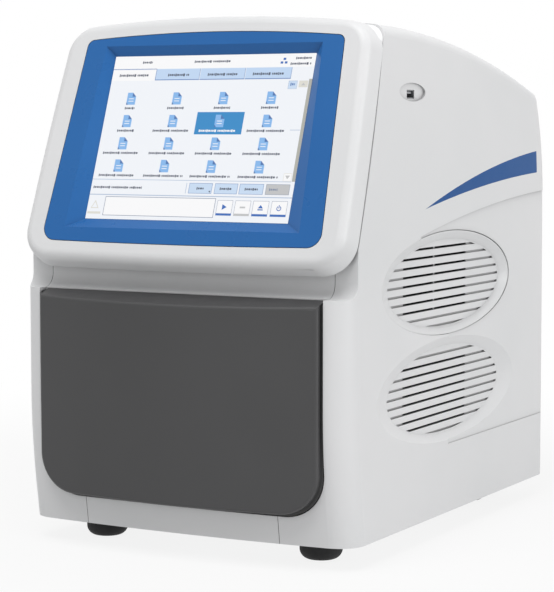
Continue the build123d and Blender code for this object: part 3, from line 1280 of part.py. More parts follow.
def make_electronics():
    """Power supply and main board on the base plate."""
    with BuildPart() as supply:
        top = base_top + SUPPLY_H
        add(bar(SUPPLY_X0, SUPPLY_X0 + SUPPLY_W, SUPPLY_Y0, SUPPLY_Y0 + SUPPLY_D, base_top, top))
        chamfer(supply.edges().filter_by(Axis.Z), 1)
        inside = (SUPPLY_X0 + SHEET, SUPPLY_X0 + SUPPLY_W - SHEET, SUPPLY_Y0 + SHEET, SUPPLY_Y0 + SUPPLY_D - SHEET)
        add(bar(*inside, base_top + SHEET, top - SHEET), mode=Mode.SUBTRACT)
        # Transformer, heat sink bars and capacitors on the supply's floor
        x_mid, y_mid = SUPPLY_X0 + SUPPLY_W / 2, SUPPLY_Y0 + SUPPLY_D / 2
        core_y = y_mid + CORE_SHIFT
        core = (x_mid - CORE_W / 2, x_mid + CORE_W / 2, core_y - CORE_D / 2, core_y + CORE_D / 2)
        add(bar(*core, base_top + SHEET, top - 5 * SHEET))
        for x in (x_mid - BAR_X, x_mid + BAR_X):
            sides = (x - BAR_THICK / 2, x + BAR_THICK / 2, y_mid - BAR_LENGTH / 2, y_mid + BAR_LENGTH / 2)
            add(bar(*sides, base_top + SHEET, top - 6 * SHEET))
        can_z = base_top + CAPACITOR_H / 2 + SHEET / 2
        with Locations(*[(x_mid + s * CAPACITOR_X, y_mid + CAPACITOR_Y, can_z) for s in (-1, 1)]):
            Cylinder(CAPACITOR_R, CAPACITOR_H)
        with BuildSketch(Plane.XY.offset(top)):
            with Locations((x_mid, y_mid)):
                with GridLocations(0, 9, 1, 11):
                    SlotOverall(SUPPLY_W * 0.7, 3.5)
        extrude(amount=-2 * SHEET, mode=Mode.SUBTRACT)
    keep("power_supply", supply.part)

    port_y = REAR_Y - WALL - 2 * SHEET
    with BuildPart() as board:
        x_mid = PCB_X0 + PCB_W / 2
        y_mid = (SUPPLY_Y0 + port_y) / 2
        length = port_y - SUPPLY_Y0
        with BuildSketch(Plane.XY.offset(PCB_Z)):
            with Locations((x_mid, y_mid)):
                RectangleRounded(PCB_W, length, WALL)
        extrude(amount=BOARD_THICK)
        with BuildSketch(Plane.XY.offset(base_top)):
            with Locations((x_mid, y_mid)):
                with GridLocations(PCB_W - 4 * WALL, length - 4 * WALL, 2, 2):
                    Circle(WALL)
        extrude(amount=PCB_Z - base_top)
        ports_z = PCB_Z + BOARD_THICK
        for shift_x, shift_y, w, d, h in MAIN_CHIPS:
            x, y = x_mid + shift_x, y_mid + shift_y
            add(bar(x - w / 2, x + w / 2, y - d / 2, y + d / 2, ports_z, ports_z + h))
        for shift_x, w, h in SOCKETS:
            x0, x1 = x_mid + shift_x - w / 2, x_mid + shift_x + w / 2
            add(bar(x0, x1, port_y - SOCKET_D, REAR_Y - WALL + 1, ports_z, ports_z + h))
            mouth = (x0 + SOCKET_WALL, x1 - SOCKET_WALL, port_y - SOCKET_MOUTH_D, REAR_Y)
            add(bar(*mouth, ports_z + SOCKET_WALL, ports_z + h - SOCKET_WALL), mode=Mode.SUBTRACT)
    keep("main_board", board.part)
    return x_mid, ports_z


def make_rear(ports_x, ports_z):
    """Rear sheet panel with its fan, inlet and rocker switch."""
    panel_y = REAR_Y - WALL
    fan_y = panel_y - SHEET - FAN_DEPTH / 2
    with BuildPart() as panel:
        with BuildSketch(facing_front(panel_y)):
            with Locations((0, (base_top + TOP_SPLIT_Z - SEAM) / 2)):
                RectangleRounded(2 * (REAR_HALF - SEAM), TOP_SPLIT_Z - SEAM - base_top, 1)
            with Locations((INLET_X, INLET_Z)):
                Rectangle(INLET_W + SEAM, INLET_H + SEAM, mode=Mode.SUBTRACT)
            with Locations((INLET_X, ROCKER_Z)):
                Rectangle(ROCKER_W + 2 * SHEET, ROCKER_H + 2 * SHEET, mode=Mode.SUBTRACT)
            for shift_x, w, h in SOCKETS:
                with Locations((ports_x + shift_x, ports_z + h / 2)):
                    Rectangle(w + 2 * SEAM, h + 2 * SEAM, mode=Mode.SUBTRACT)
        extrude(amount=SHEET)
        with BuildSketch(facing_front(panel_y)):
            with Locations((0, FAN_Z)):
                with GridLocations(0, 7, 1, 11):
                    Rectangle(FAN_SIZE, 4)
                Circle(FAN_SIZE * 0.46, mode=Mode.INTERSECT)
                Rectangle(3, FAN_SIZE, mode=Mode.SUBTRACT)
        extrude(amount=SHEET, mode=Mode.SUBTRACT)
    keep("rear_panel", panel.part)
    keep("rear_fan_frame", fan_frame((0, fan_y, FAN_Z), FAN_SIZE, FAN_DEPTH))
    keep("rear_fan_rotor", fan_rotor((0, fan_y, FAN_Z), FAN_SIZE, FAN_DEPTH))

    with BuildPart() as inlet:
        with BuildSketch(facing_front(panel_y + 1.5)):
            with Locations((INLET_X, INLET_Z)):
                RectangleRounded(INLET_W + 6, INLET_H + 6, 2)
        extrude(amount=1.5)
        with BuildSketch(facing_front(panel_y)):
            with Locations((INLET_X, INLET_Z)):
                Rectangle(INLET_W, INLET_H)
        extrude(amount=INLET_DEPTH)
        with BuildSketch(facing_front(panel_y + 1.5)):
            with Locations((INLET_X, INLET_Z)):
                Rectangle(INLET_W - 4, INLET_H - 4)
        extrude(amount=INLET_DEPTH, mode=Mode.SUBTRACT)
        with BuildSketch(facing_front(panel_y - INLET_DEPTH + 1)):
            with Locations((INLET_X, INLET_Z)):
                with Locations((-7, -2), (0, 2), (7, -2)):
                    Rectangle(2, 4)
        extrude(amount=2 - INLET_DEPTH * 0.7)
        # The switch's frame, with two ears that hold the rocker's pivot
        with BuildSketch(facing_front(panel_y + 1.5)):
            with Locations((INLET_X, ROCKER_Z)):
                RectangleRounded(ROCKER_W + 4 * SHEET, ROCKER_H + 4 * SHEET, 1)
                Rectangle(ROCKER_W + 2 * RUNNING, ROCKER_H + 2, mode=Mode.SUBTRACT)
        extrude(amount=1.5)
        with BuildSketch(facing_front(panel_y)):
            with Locations((INLET_X, ROCKER_Z)):
                Rectangle(ROCKER_W + 2 * SHEET - SEAM, ROCKER_H + 2 * SHEET - SEAM)
                Rectangle(ROCKER_W + 2 * RUNNING, ROCKER_H + 2, mode=Mode.SUBTRACT)
        extrude(amount=INLET_DEPTH)
        with BuildSketch(side(INLET_X - ROCKER_W)):
            with Locations((panel_y - ROCKER_DEPTH, ROCKER_Z)):
                Circle(1.5 + FIT)
        extrude(amount=2 * ROCKER_W, mode=Mode.SUBTRACT)
        web_z1 = ROCKER_Z - ROCKER_H / 2 - SHEET / 2
        add(bar(INLET_X - 8, INLET_X + 8, panel_y - INLET_DEPTH, panel_y - 3, INLET_Z + INLET_H / 2 - 1, web_z1))
    keep("power_inlet", inlet.part)

    pin_half = ROCKER_W / 2 + 0.75 * SHEET
    reach = ROCKER_H / 2 - 0.5
    with BuildPart() as level_rocker:
        with BuildSketch(side(-ROCKER_W / 2)):
            with BuildLine():
                Polyline((ROCKER_DEPTH, reach), (3, reach), (-2.5, 6), (-2.5, -6), (3, -reach), (ROCKER_DEPTH, -reach))
                ThreePointArc((ROCKER_DEPTH, -reach), (ROCKER_DEPTH - 1, 0), (ROCKER_DEPTH, reach))
            make_face()
        extrude(amount=ROCKER_W)
        with BuildSketch(side(-pin_half)):
            Circle(1.5)
        extrude(amount=2 * pin_half)
    with BuildPart() as rocker:
        with Locations(Location((INLET_X, panel_y - ROCKER_DEPTH, ROCKER_Z), (-ROCKER_ANGLE, 0, 0))):
            add(level_rocker.part)
    keep("power_rocker", rocker.part)


def make_usb():
    """The USB socket's metal shell in the recess, with its tongue."""
    face_x = USB_X - USB_RECESS_DEPTH - SEAM
    with BuildPart() as port:
        with BuildSketch(side(face_x)):
            with Locations((USB_Y, USB_PORT_Z)):
                Rectangle(USB_W, USB_H)
        extrude(amount=-USB_DEPTH)
        with BuildSketch(side(face_x)):
            with Locations((USB_Y, USB_PORT_Z)):
                Rectangle(USB_W - 2 * USB_SHEET, USB_H - 2 * USB_SHEET)
        extrude(amount=USB_SHEET - USB_DEPTH, mode=Mode.SUBTRACT)
        with BuildSketch(side(face_x - USB_DEPTH)):
            with Locations((USB_Y, USB_PORT_Z + USB_H / 5)):
                Rectangle(USB_W - 4, 1.8)
        extrude(amount=USB_DEPTH - 1.5)
        flange_x = USB_X - USB_RECESS_DEPTH - WALL
        with BuildSketch(side(flange_x)):
            with Locations((USB_Y, USB_PORT_Z)):
                Rectangle(USB_W + 6, USB_H + 6)
                Rectangle(USB_W - 2 * USB_SHEET, USB_H - 2 * USB_SHEET, mode=Mode.SUBTRACT)
        extrude(amount=-1.5)
    keep("usb_port", port.part)


os.makedirs("parts", exist_ok=True)
make_housing()
make_vents()
make_display()
make_base()
make_frame()
make_drawer()
make_lid()
make_optics()
ports_x, ports_z = make_electronics()
make_rear(ports_x, ports_z)
make_usb()
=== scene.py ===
"""Looks for a bench PCR machine: moulded plastics, a lit screen, metals inside, and the studio."""

import json
from math import cos, pi, radians, sin

import bmesh
import bpy
from mathutils import Matrix, Vector

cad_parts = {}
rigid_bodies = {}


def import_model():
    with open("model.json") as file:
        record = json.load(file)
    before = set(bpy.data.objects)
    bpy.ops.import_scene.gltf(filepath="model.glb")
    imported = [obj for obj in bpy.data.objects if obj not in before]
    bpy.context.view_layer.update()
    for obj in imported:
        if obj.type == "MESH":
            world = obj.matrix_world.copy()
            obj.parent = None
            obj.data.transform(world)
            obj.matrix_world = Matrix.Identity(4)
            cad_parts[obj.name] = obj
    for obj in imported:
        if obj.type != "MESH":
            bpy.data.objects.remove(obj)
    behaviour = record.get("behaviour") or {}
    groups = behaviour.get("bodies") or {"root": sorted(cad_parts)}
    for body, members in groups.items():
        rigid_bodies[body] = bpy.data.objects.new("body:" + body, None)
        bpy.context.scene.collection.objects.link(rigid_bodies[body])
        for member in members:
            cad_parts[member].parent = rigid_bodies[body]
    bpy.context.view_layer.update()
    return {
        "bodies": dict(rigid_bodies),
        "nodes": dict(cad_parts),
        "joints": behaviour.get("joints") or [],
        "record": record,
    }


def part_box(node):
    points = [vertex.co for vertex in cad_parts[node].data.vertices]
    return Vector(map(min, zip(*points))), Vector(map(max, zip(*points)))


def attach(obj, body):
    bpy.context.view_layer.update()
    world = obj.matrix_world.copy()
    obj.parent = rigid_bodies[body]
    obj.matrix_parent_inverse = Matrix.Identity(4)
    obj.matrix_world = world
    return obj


# Camera, in metres and degrees, standing where the photograph was taken from
CAMERA_AT = Vector((0.9418, -1.7665, 0.3880))
CAMERA_AZIMUTH = 28.58
CAMERA_ELEVATION = 4.81
CAMERA_LENS = 123.68
CAMERA_SENSOR = 36.0

# Screen, in metres and degrees; its picture is laid out on a grid of 800 by 600 cells
SCREEN_TILT = 20.0
SCREEN_W, SCREEN_H = 0.2112, 0.1584
GRID_W, GRID_H = 800.0, 600.0
PICTURE_LIFT = 0.00012
LAYER_STEP = 0.00004
SCREEN_GLOW = 0.9

# Lines of small marks on the screen, in cells
MARK_W, MARK_GROWTH, MARK_KINDS = 4.2, 1.6, 3
MARK_GAP, WORD_GAP, WORD_MARKS = 2.0, 6.0, 9
TALL_EVERY, LOW_SHARE = 4, 0.72

# Signs on the screen, in cells: middles of the columns, tops of the rows, and the widths of the labels
ICON_COLUMNS = (97, 284, 470, 656)
ICON_ROWS = (136, 219, 301, 383)
ICON_W, ICON_H = 36, 45
ICON_FOLD = 0.42
LABEL_DROP = 58
LABEL_WIDTHS = ((40, 66, 64, 66), (68, 150, 150, 146), (150, 148, 148, 147), (150, 158, 157, 153))

# Top corners behind the bezel, in millimetres across and up from the middle of the screen's face, with
# depths along the screen's outward direction. A fairing leads from the bezel's wide corner to the
# housing's tighter one, and a rib behind it closes the opening between them.
SCREEN_MIDDLE = Vector((0.0, -0.1866, 0.3775))
BEZEL_CORNER, BEZEL_RADIUS = (131.0, 82.1), 28.5
HOUSING_CORNER, HOUSING_RADIUS = (143.6, 94.9), 16.8
FAIRING_TOP, FAIRING_SIDE = (134.0, 113.2), (162.0, 85.4)
FAIRING_FRONT, FAIRING_BACK = -8.5, -17.0
FAIRING_THICK = 5.0
FAIRING_FIRST, FAIRING_LAST, FAIRING_STEPS = 88.0, 2.0, 16
RIB_FRONT, RIB_BACK = -17.3, -18.3
RIB_OUTLINE = (
    (134.2, 112.0),
    (149.9, 110.5),
    (152.5, 109.9),
    (154.8, 108.6),
    (156.6, 106.8),
    (158.2, 103.8),
    (159.3, 100.5),
    (160.7, 84.0),
    (156.5, 84.0),
    (153.0, 95.0),
    (147.0, 102.0),
    (134.0, 106.0),
)

# Rubber lip round the drawer front's sides and lower corners, in millimetres
FRONT_HALF, FRONT_BOTTOM, FRONT_CORNER_R = 144.5, 49.0, 37.0
LIP_OUT, LIP_IN = 1.8, 1.0
LIP_FRONT_Y, LIP_BACK_Y = -223.0, -217.5
LIP_TOP, LIP_RUN = 234.0, 20.0
LIP_STEPS = 16

# Painted shade in crevices: how far a crevice's walls are looked for, in metres, and how sharply the
# painted shade sets in
PAINTED_SHADE_REACH = 0.006
PAINTED_SHADE_POWER = 1.2
PAINTED_SHADE_SAMPLES = 12

# Edges that turn more than this many degrees stay sharp
SHARP_ANGLE = 28.0

# The part of a noise pattern's values that most of it lies in
PATTERN_LOW, PATTERN_HIGH = 0.3, 0.7
COAT_ROUGHNESS = 0.15

# A mix node's places for colours: factor, colour under, colour over, and the result
MIX_INPUTS, MIX_OUTPUT = (0, 6, 7), 2

# Studio, in metres and watts
WHITE = (1.0, 1.0, 1.0, 1.0)
WORLD_LIGHT = 0.46
FLOOR_SIZE, FLOOR_DROP = 40.0, 0.0002
FLOOR_GREY = (0.7, 0.7, 0.7, 1.0)
FLOOR_SHOWN = 0.86
FLOOR_NEAR, FLOOR_FAR = 0.35, 1.1
LAMP_AIM = Vector((0.0, 0.0, 0.3))
TOP_BOX_AT, TOP_BOX_SIZE, TOP_BOX_POWER = Vector((0.15, -1.28, 2.96)), 1.8, 54.0
RIGHT_BOX_AT, RIGHT_BOX_SIZE, RIGHT_BOX_POWER = Vector((2.9, -0.36, 0.95)), 1.6, 27.0


def linear(red, green, blue):
    """A colour written as 0 to 255 screen values, in the linear values that shaders take."""
    values = []
    for value in (red, green, blue):
        share = value / 255.0
        values.append(share / 12.92 if share <= 0.04045 else ((share + 0.055) / 1.055) ** 2.4)
    return (*values, 1.0)


def shader_of(material):
    """The material's main shader node."""
    return material.node_tree.nodes["Principled BSDF"]


def plain(name, color, roughness, metallic=0.0, coat=0.0, sheen=0.5):
    """A new material with its base colour and finish set on the shader itself."""
    material = bpy.data.materials.new(name)
    material.use_nodes = True
    shader = shader_of(material)
    shader.inputs["Base Color"].default_value = color
    shader.inputs["Roughness"].default_value = roughness
    shader.inputs["Metallic"].default_value = metallic
    shader.inputs["Specular IOR Level"].default_value = sheen
    shader.inputs["Coat Weight"].default_value = coat
    shader.inputs["Coat Roughness"].default_value = COAT_ROUGHNESS
    return material


def noise(material, scale, detail, stretch=(1.0, 1.0, 1.0)):
    """A noise pattern laid through the object's own space, in cells per metre."""
    nodes, links = material.node_tree.nodes, material.node_tree.links
    place = nodes.new("ShaderNodeTexCoord")
    shape = nodes.new("ShaderNodeMapping")
    shape.inputs["Scale"].default_value = stretch
    pattern = nodes.new("ShaderNodeTexNoise")
    pattern.inputs["Scale"].default_value = scale
    pattern.inputs["Detail"].default_value = detail
    links.new(place.outputs["Object"], shape.inputs["Vector"])
    links.new(shape.outputs["Vector"], pattern.inputs["Vector"])
    return pattern


def add_bump(material, pattern, strength, distance):
    """Raises the surface by a pattern; distance is the height of full relief in metres."""
    nodes, links = material.node_tree.nodes, material.node_tree.links
    bump = nodes.new("ShaderNodeBump")
    bump.inputs["Strength"].default_value = strength
    bump.inputs["Distance"].default_value = distance
    links.new(pattern.outputs["Fac"], bump.inputs["Height"])
    links.new(bump.outputs["Normal"], shader_of(material).inputs["Normal"])


def add_range(material, pattern, socket, low, high):
    """Spreads a pattern's values over a range and feeds them to a shader socket."""
    nodes, links = material.node_tree.nodes, material.node_tree.links
    spread = nodes.new("ShaderNodeMapRange")
    spread.inputs["From Min"].default_value = PATTERN_LOW
    spread.inputs["From Max"].default_value = PATTERN_HIGH
    spread.inputs["To Min"].default_value = low
    spread.inputs["To Max"].default_value = high
    links.new(pattern.outputs["Fac"], spread.inputs["Value"])
    links.new(spread.outputs["Result"], shader_of(material).inputs[socket])


def add_tint(material, pattern, dark, light):
    """Varies the base colour softly between two tints."""
    nodes, links = material.node_tree.nodes, material.node_tree.links
    ramp = nodes.new("ShaderNodeValToRGB")
    first, last = ramp.color_ramp.elements
    first.position, first.color = PATTERN_LOW, dark
    last.position, last.color = PATTERN_HIGH, light
    links.new(pattern.outputs["Fac"], ramp.inputs["Fac"])
    links.new(ramp.outputs["Color"], shader_of(material).inputs["Base Color"])


def add_painted_crevice_shade(material, shade, reach, power):
    """Paints shade into the base colour of narrow slots, gaps and creases, where little light comes in."""
    nodes, links = material.node_tree.nodes, material.node_tree.links
    base = shader_of(material).inputs["Base Color"]
    tint = base.links[0].from_socket
    openness = nodes.new("ShaderNodeAmbientOcclusion")
    openness.samples = PAINTED_SHADE_SAMPLES
    openness.inputs["Distance"].default_value = reach
    curve = nodes.new("ShaderNodeMath")
    curve.operation = "POWER"
    curve.inputs[1].default_value = power
    links.new(openness.outputs["AO"], curve.inputs[0])
    mix = nodes.new("ShaderNodeMix")
    mix.data_type = "RGBA"
    factor, under, over = (mix.inputs[index] for index in MIX_INPUTS)
    under.default_value = shade
    links.new(curve.outputs[0], factor)
    links.new(tint, over)
    links.new(mix.outputs[MIX_OUTPUT], base)


def moulded(name, dark, light, roughness, grain=2600.0, relief=0.00003, sheen=0.5, painted_crevice_shade=None):
    """Injection-moulded plastic: fine even grain, slight cloudiness and an uneven sheen, and painted shade
    in its crevices when a shade colour is given.
    """
    material = plain(name, light, roughness, sheen=sheen)
    add_tint(material, noise(material, 5.0, 2.0), dark, light)
    # Painted shade: the base colour darkens towards the given colour where walls close in
    if painted_crevice_shade:
        add_painted_crevice_shade(material, painted_crevice_shade, PAINTED_SHADE_REACH, PAINTED_SHADE_POWER)
    add_range(material, noise(material, 30.0, 3.0), "Roughness", roughness - 0.04, roughness + 0.05)
    add_bump(material, noise(material, grain, 2.0), 0.35, relief)
    return material


def brushed(name, dark, light, roughness, stretch):
    """Metal with fine drawn lines along one direction."""
    material = plain(name, light, roughness, metallic=1.0)
    add_tint(material, noise(material, 9.0, 3.0), dark, light)
    lines = noise(material, 500.0, 2.0, stretch)
    add_range(material, lines, "Roughness", roughness - 0.08, roughness + 0.08)
    add_bump(material, lines, 0.3, 0.00002)
    return material


def clear_glass(name, color, roughness, transmission):
    """Tinted glass with a faint haze."""
    material = plain(name, color, roughness)
    shader = shader_of(material)
    shader.inputs["Transmission Weight"].default_value = transmission
    shader.inputs["IOR"].default_value = 1.5
    add_range(material, noise(material, 60.0, 2.0), "Roughness", roughness, roughness + 0.06)
    return material


def board(name):
    """Green solder mask over a grid of tracks."""
    material = plain(name, linear(22, 92, 56), 0.35, coat=0.3)
    tracks = noise(material, 220.0, 1.0, (1.0, 6.0, 1.0))
    add_tint(material, tracks, linear(14, 70, 42), linear(40, 118, 70))
    add_bump(material, noise(material, 400.0, 1.0), 0.4, 0.0001)
    return material


def foam(name):
    """Open-cell filter foam."""
    material = plain(name, linear(8, 8, 9), 0.95, sheen=0.1)
    cells = noise(material, 900.0, 4.0)
    add_tint(material, cells, linear(3, 3, 4), linear(16, 16, 17))
    add_bump(material, cells, 1.0, 0.0008)
    return material


def make_materials():
    """One material per slot of the record."""
    steel_dark, steel_light = linear(150, 152, 155), linear(186, 188, 190)
    alloy_dark, alloy_light = linear(176, 178, 181), linear(208, 210, 212)
    return {
        "white_plastic": moulded(
            "white_plastic",
            linear(219, 220, 221),
            linear(224, 224, 225),
            0.36,
            sheen=0.3,
            # painted shade in slots, seams and creases of the white shell
            painted_crevice_shade=linear(122, 122, 123),
        ),
        "drawer_grey": moulded(
            "drawer_grey",
            linear(65, 65, 66),
            linear(71, 71, 72),
            0.42,
            relief=0.00004,
            sheen=0.4,
            # painted shade along the drawer front's edges and gaps
            painted_crevice_shade=linear(50, 50, 51),
        ),
        "blue_plastic": moulded(
            "blue_plastic",
            linear(27, 95, 162),
            linear(33, 101, 168),
            0.3,
            sheen=0.3,
            # painted shade in the seams and bevels of the blue surround
            painted_crevice_shade=linear(8, 30, 60),
        ),
        "blue_stripe": moulded("blue_stripe", linear(9, 77, 141), linear(13, 81, 145), 0.34, sheen=0.1),
        "screen_glass": clear_glass("screen_glass", linear(20, 22, 26), 0.08, 0.0),
        "circuit_board": board("circuit_board"),
        "black_rubber": moulded(
            "black_rubber", linear(26, 26, 27), linear(40, 40, 41), 0.75, 1500.0, 0.00008
        ),
        "screw_steel": brushed("screw_steel", steel_dark, steel_light, 0.3, (1.0, 1.0, 9.0)),
        "sheet_steel": brushed("sheet_steel", steel_dark, steel_light, 0.38, (1.0, 12.0, 1.0)),
        "rail_steel": brushed("rail_steel", steel_dark, steel_light, 0.28, (9.0, 0.6, 9.0)),
        "panel_paint": moulded(
            "panel_paint", linear(202, 204, 206), linear(210, 212, 214), 0.45, 1800.0, 0.00006
        ),
        "machined_aluminium": brushed(
            "machined_aluminium", alloy_dark, alloy_light, 0.3, (8.0, 1.0, 1.0)
        ),
        "black_plastic": moulded("black_plastic", linear(26, 26, 28), linear(34, 34, 36), 0.5),
        "motor_black": moulded("motor_black", linear(30, 30, 32), linear(42, 42, 45), 0.4),
        "deck_plastic": moulded("deck_plastic", linear(210, 212, 214), linear(220, 221, 222), 0.4),
        "ceramic_white": moulded("ceramic_white", linear(232, 231, 226), linear(240, 239, 235), 0.6),
        "nut_brass": brushed(
            "nut_brass", linear(178, 142, 66), linear(206, 170, 90), 0.3, (1.0, 6.0, 1.0)
        ),
        "filter_foam": foam("filter_foam"),
        "lens_glass": clear_glass("lens_glass", linear(225, 236, 240), 0.02, 1.0),
        "front_mirror": brushed(
            "front_mirror", linear(228, 230, 233), linear(236, 238, 240), 0.12, (1.0, 1.0, 1.0)
        ),
        "emission_glass": clear_glass("emission_glass", linear(206, 120, 60), 0.05, 0.7),
        "excitation_glass": clear_glass("excitation_glass", linear(70, 130, 205), 0.05, 0.7),
    }


def dress(frame, materials):
    """Gives each CAD node the material of its slot, and smooth shading that keeps sharp edges."""
    slots = {row["node"]: row["material_slot"] for row in frame["record"]["subparts"]}
    for name, node in frame["nodes"].items():
        node.data.materials.clear()
        node.data.materials.append(materials[slots[name]])
        node.data.shade_smooth()
        node.data.set_sharp_from_angle(angle=radians(SHARP_ANGLE))


def screen_axes():
    """The screen's own directions: up along its face, and out of it."""
    tilt = radians(SCREEN_TILT)
    return Vector((0.0, sin(tilt), cos(tilt))), Vector((0.0, -cos(tilt), sin(tilt)))


class Picture:
    """Flat shapes on the screen, gathered by colour; places are cells of the 800 by 600 grid."""

    def __init__(self, frame):
        low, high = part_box("touch_panel")
        self.across = Vector((1.0, 0.0, 0.0))
        self.upward, self.outward = screen_axes()
        corners = [vertex.co for vertex in frame["nodes"]["touch_panel"].data.vertices]
        face = max(corner.dot(self.outward) for corner in corners)
        middle = (low + high) / 2
        self.centre = middle + self.outward * (face - middle.dot(self.outward))
        self.shapes = {}

    def place(self, x, y, layer):
        """The point in the row frame of a grid cell, raised by its layer."""
        return (
            self.centre
            + self.across * ((x / GRID_W - 0.5) * SCREEN_W)
            + self.upward * ((0.5 - y / GRID_H) * SCREEN_H)
            + self.outward * (PICTURE_LIFT + layer * LAYER_STEP)
        )

    def polygon(self, color, layer, points):
        """A filled shape with its corners listed round it."""
        self.shapes.setdefault(color, []).append([self.place(x, y, layer) for x, y in points])

    def box(self, color, layer, left, top, right, bottom):
        """A filled rectangle."""
        self.polygon(color, layer, [(left, bottom), (right, bottom), (right, top), (left, top)])

    def outline(self, color, layer, left, top, right, bottom, width=1.4):
        """A rectangle's border, drawn inside it."""
        self.box(color, layer, left, top, right, top + width)
        self.box(color, layer, left, bottom - width, right, bottom)
        self.box(color, layer, left, top, left + width, bottom)
        self.box(color, layer, right - width, top, right, bottom)

    def words(self, color, layer, left, right, middle, height=9.0):
        """A line of unreadable small marks with the rhythm of text."""
        x, step = left, 0
        while x < right - 2:
            mark = MARK_W + MARK_GROWTH * (step % MARK_KINDS)
            tall = height * (LOW_SHARE if step % TALL_EVERY else 1.0)
            self.box(color, layer, x, middle - tall / 2, min(x + mark, right), middle + tall / 2)
            step += 1
            x += mark + (MARK_GAP if step % WORD_MARKS else WORD_GAP)

    def build(self, colors):
        """One mesh per colour, riding on the machine."""
        for name, shapes in self.shapes.items():
            mesh = bpy.data.meshes.new(f"picture_{name}")
            points = [point for shape in shapes for point in shape]
            faces, start = [], 0
            for shape in shapes:
                faces.append(list(range(start, start + len(shape))))
                start += len(shape)
            mesh.from_pydata(points, [], faces)
            piece = bpy.data.objects.new(f"picture_{name}", mesh)
            bpy.context.scene.collection.objects.link(piece)
            piece.data.materials.append(lit(f"lit_{name}", colors[name]))
            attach(piece, "chassis")


def lit(name, color):
    """A lit patch of the display: it glows under a faint pattern of its cells, and mirrors a little."""
    material = plain(name, (0.01, 0.01, 0.012, 1.0), 0.18)
    shader = shader_of(material)
    shader.inputs["Emission Color"].default_value = color
    shader.inputs["Emission Strength"].default_value = SCREEN_GLOW
    add_bump(material, noise(material, 3000.0, 1.0), 0.1, 0.00001)
    return material


PICTURE_COLORS = {
    "page": linear(246, 249, 254),
    "white": linear(254, 254, 255),
    "tab": linear(196, 219, 247),
    "tab_edge": linear(88, 128, 188),
    "ink": linear(70, 78, 98),
    "soft_ink": linear(128, 140, 164),
    "line": linear(172, 190, 216),
    "paper": linear(134, 186, 240),
    "paper_fold": linear(70, 116, 178),
    "chosen": linear(34, 138, 202),
    "button": linear(204, 224, 247),
    "grey": linear(196, 197, 198),
    "strip": linear(44, 104, 186),
    "faint": linear(226, 224, 214),
    "edge": linear(178, 178, 170),
}


def draw_header(picture):
    """Top bar with its status line, and the row of four tabs."""
    picture.box("page", 0, 0, 0, GRID_W, GRID_H)
    picture.box("white", 1, 0, 0, GRID_W, 48)
    picture.words("ink", 2, 117, 157, 24)
    picture.words("ink", 2, 328, 474, 24)
    picture.words("ink", 2, 725, 787, 17)
    picture.words("ink", 2, 707, 787, 37)
    for x, y in ((677, 15), (668, 28), (684, 28)):
        picture.box("strip", 2, x, y, x + 10, y + 8)
    picture.box("tab_edge", 1, 0, 47, 180, 50)
    picture.box("white", 1, 0, 50, 180, 92)
    for left, right in ((181, 358), (360, 537), (539, 717)):
        picture.box("tab", 1, left, 49, right, 89)
        picture.box("tab_edge", 2, left, 88, right, 91)
        picture.box("tab_edge", 2, right - 1.5, 50, right, 91)
    picture.box("tab_edge", 2, 179, 50, 181, 91)
    for left, right in ((30, 152), (230, 315), (390, 507), (568, 688)):
        picture.words("ink", 3, left, right, 72, 10.0)


def draw_icons(picture):
    """Four rows of four document signs, one of them chosen."""
    picture.box("chosen", 1, 377, 209, 563, 290)
    for row, top in enumerate(ICON_ROWS):
        for column, middle in enumerate(ICON_COLUMNS):
            left, right = middle - ICON_W / 2, middle + ICON_W / 2
            bottom = top + ICON_H
            fold = ICON_W * ICON_FOLD
            cut_right, cut_top = (right, top + fold), (right - fold, top)
            picture.polygon("paper", 2, [(left, bottom), (right, bottom), cut_right, cut_top, (left, top)])
            picture.polygon("paper_fold", 3, [(right - fold, top + fold), cut_right, cut_top])
            picture.polygon("paper_fold", 3, [(left, bottom), (left + 8, bottom), (left, bottom - 10)])
            for line in range(2):
                height = top + ICON_H * (0.48 + 0.2 * line)
                picture.box("white", 3, left + 8, height, right - 8, height + 2.5)
            half = LABEL_WIDTHS[row][column] / 2
            chosen = (row, column) == (1, 2)
            ink = "white" if chosen else "ink"
            picture.words(ink, 3, middle - half, middle + half, top + LABEL_DROP)


def draw_scroll(picture):
    """Page counter and scroll column on the right."""
    picture.box("button", 1, 712, 98, 744, 126)
    picture.outline("line", 2, 712, 98, 746, 128)
    picture.words("tab_edge", 3, 720, 737, 111, 11.0)
    picture.box("faint", 1, 752, 98, 786, 122)
    picture.polygon("grey", 2, [(761, 115), (777, 115), (769, 106)])
    picture.box("edge", 1, 788, 92, GRID_W, 455)
    picture.box("line", 2, 748, 273, 786, 275)
    picture.box("white", 1, 754, 426, 785, 454)
    picture.outline("faint", 2, 754, 426, 785, 454)
    picture.polygon("grey", 3, [(760, 434), (769, 447), (778, 434)])


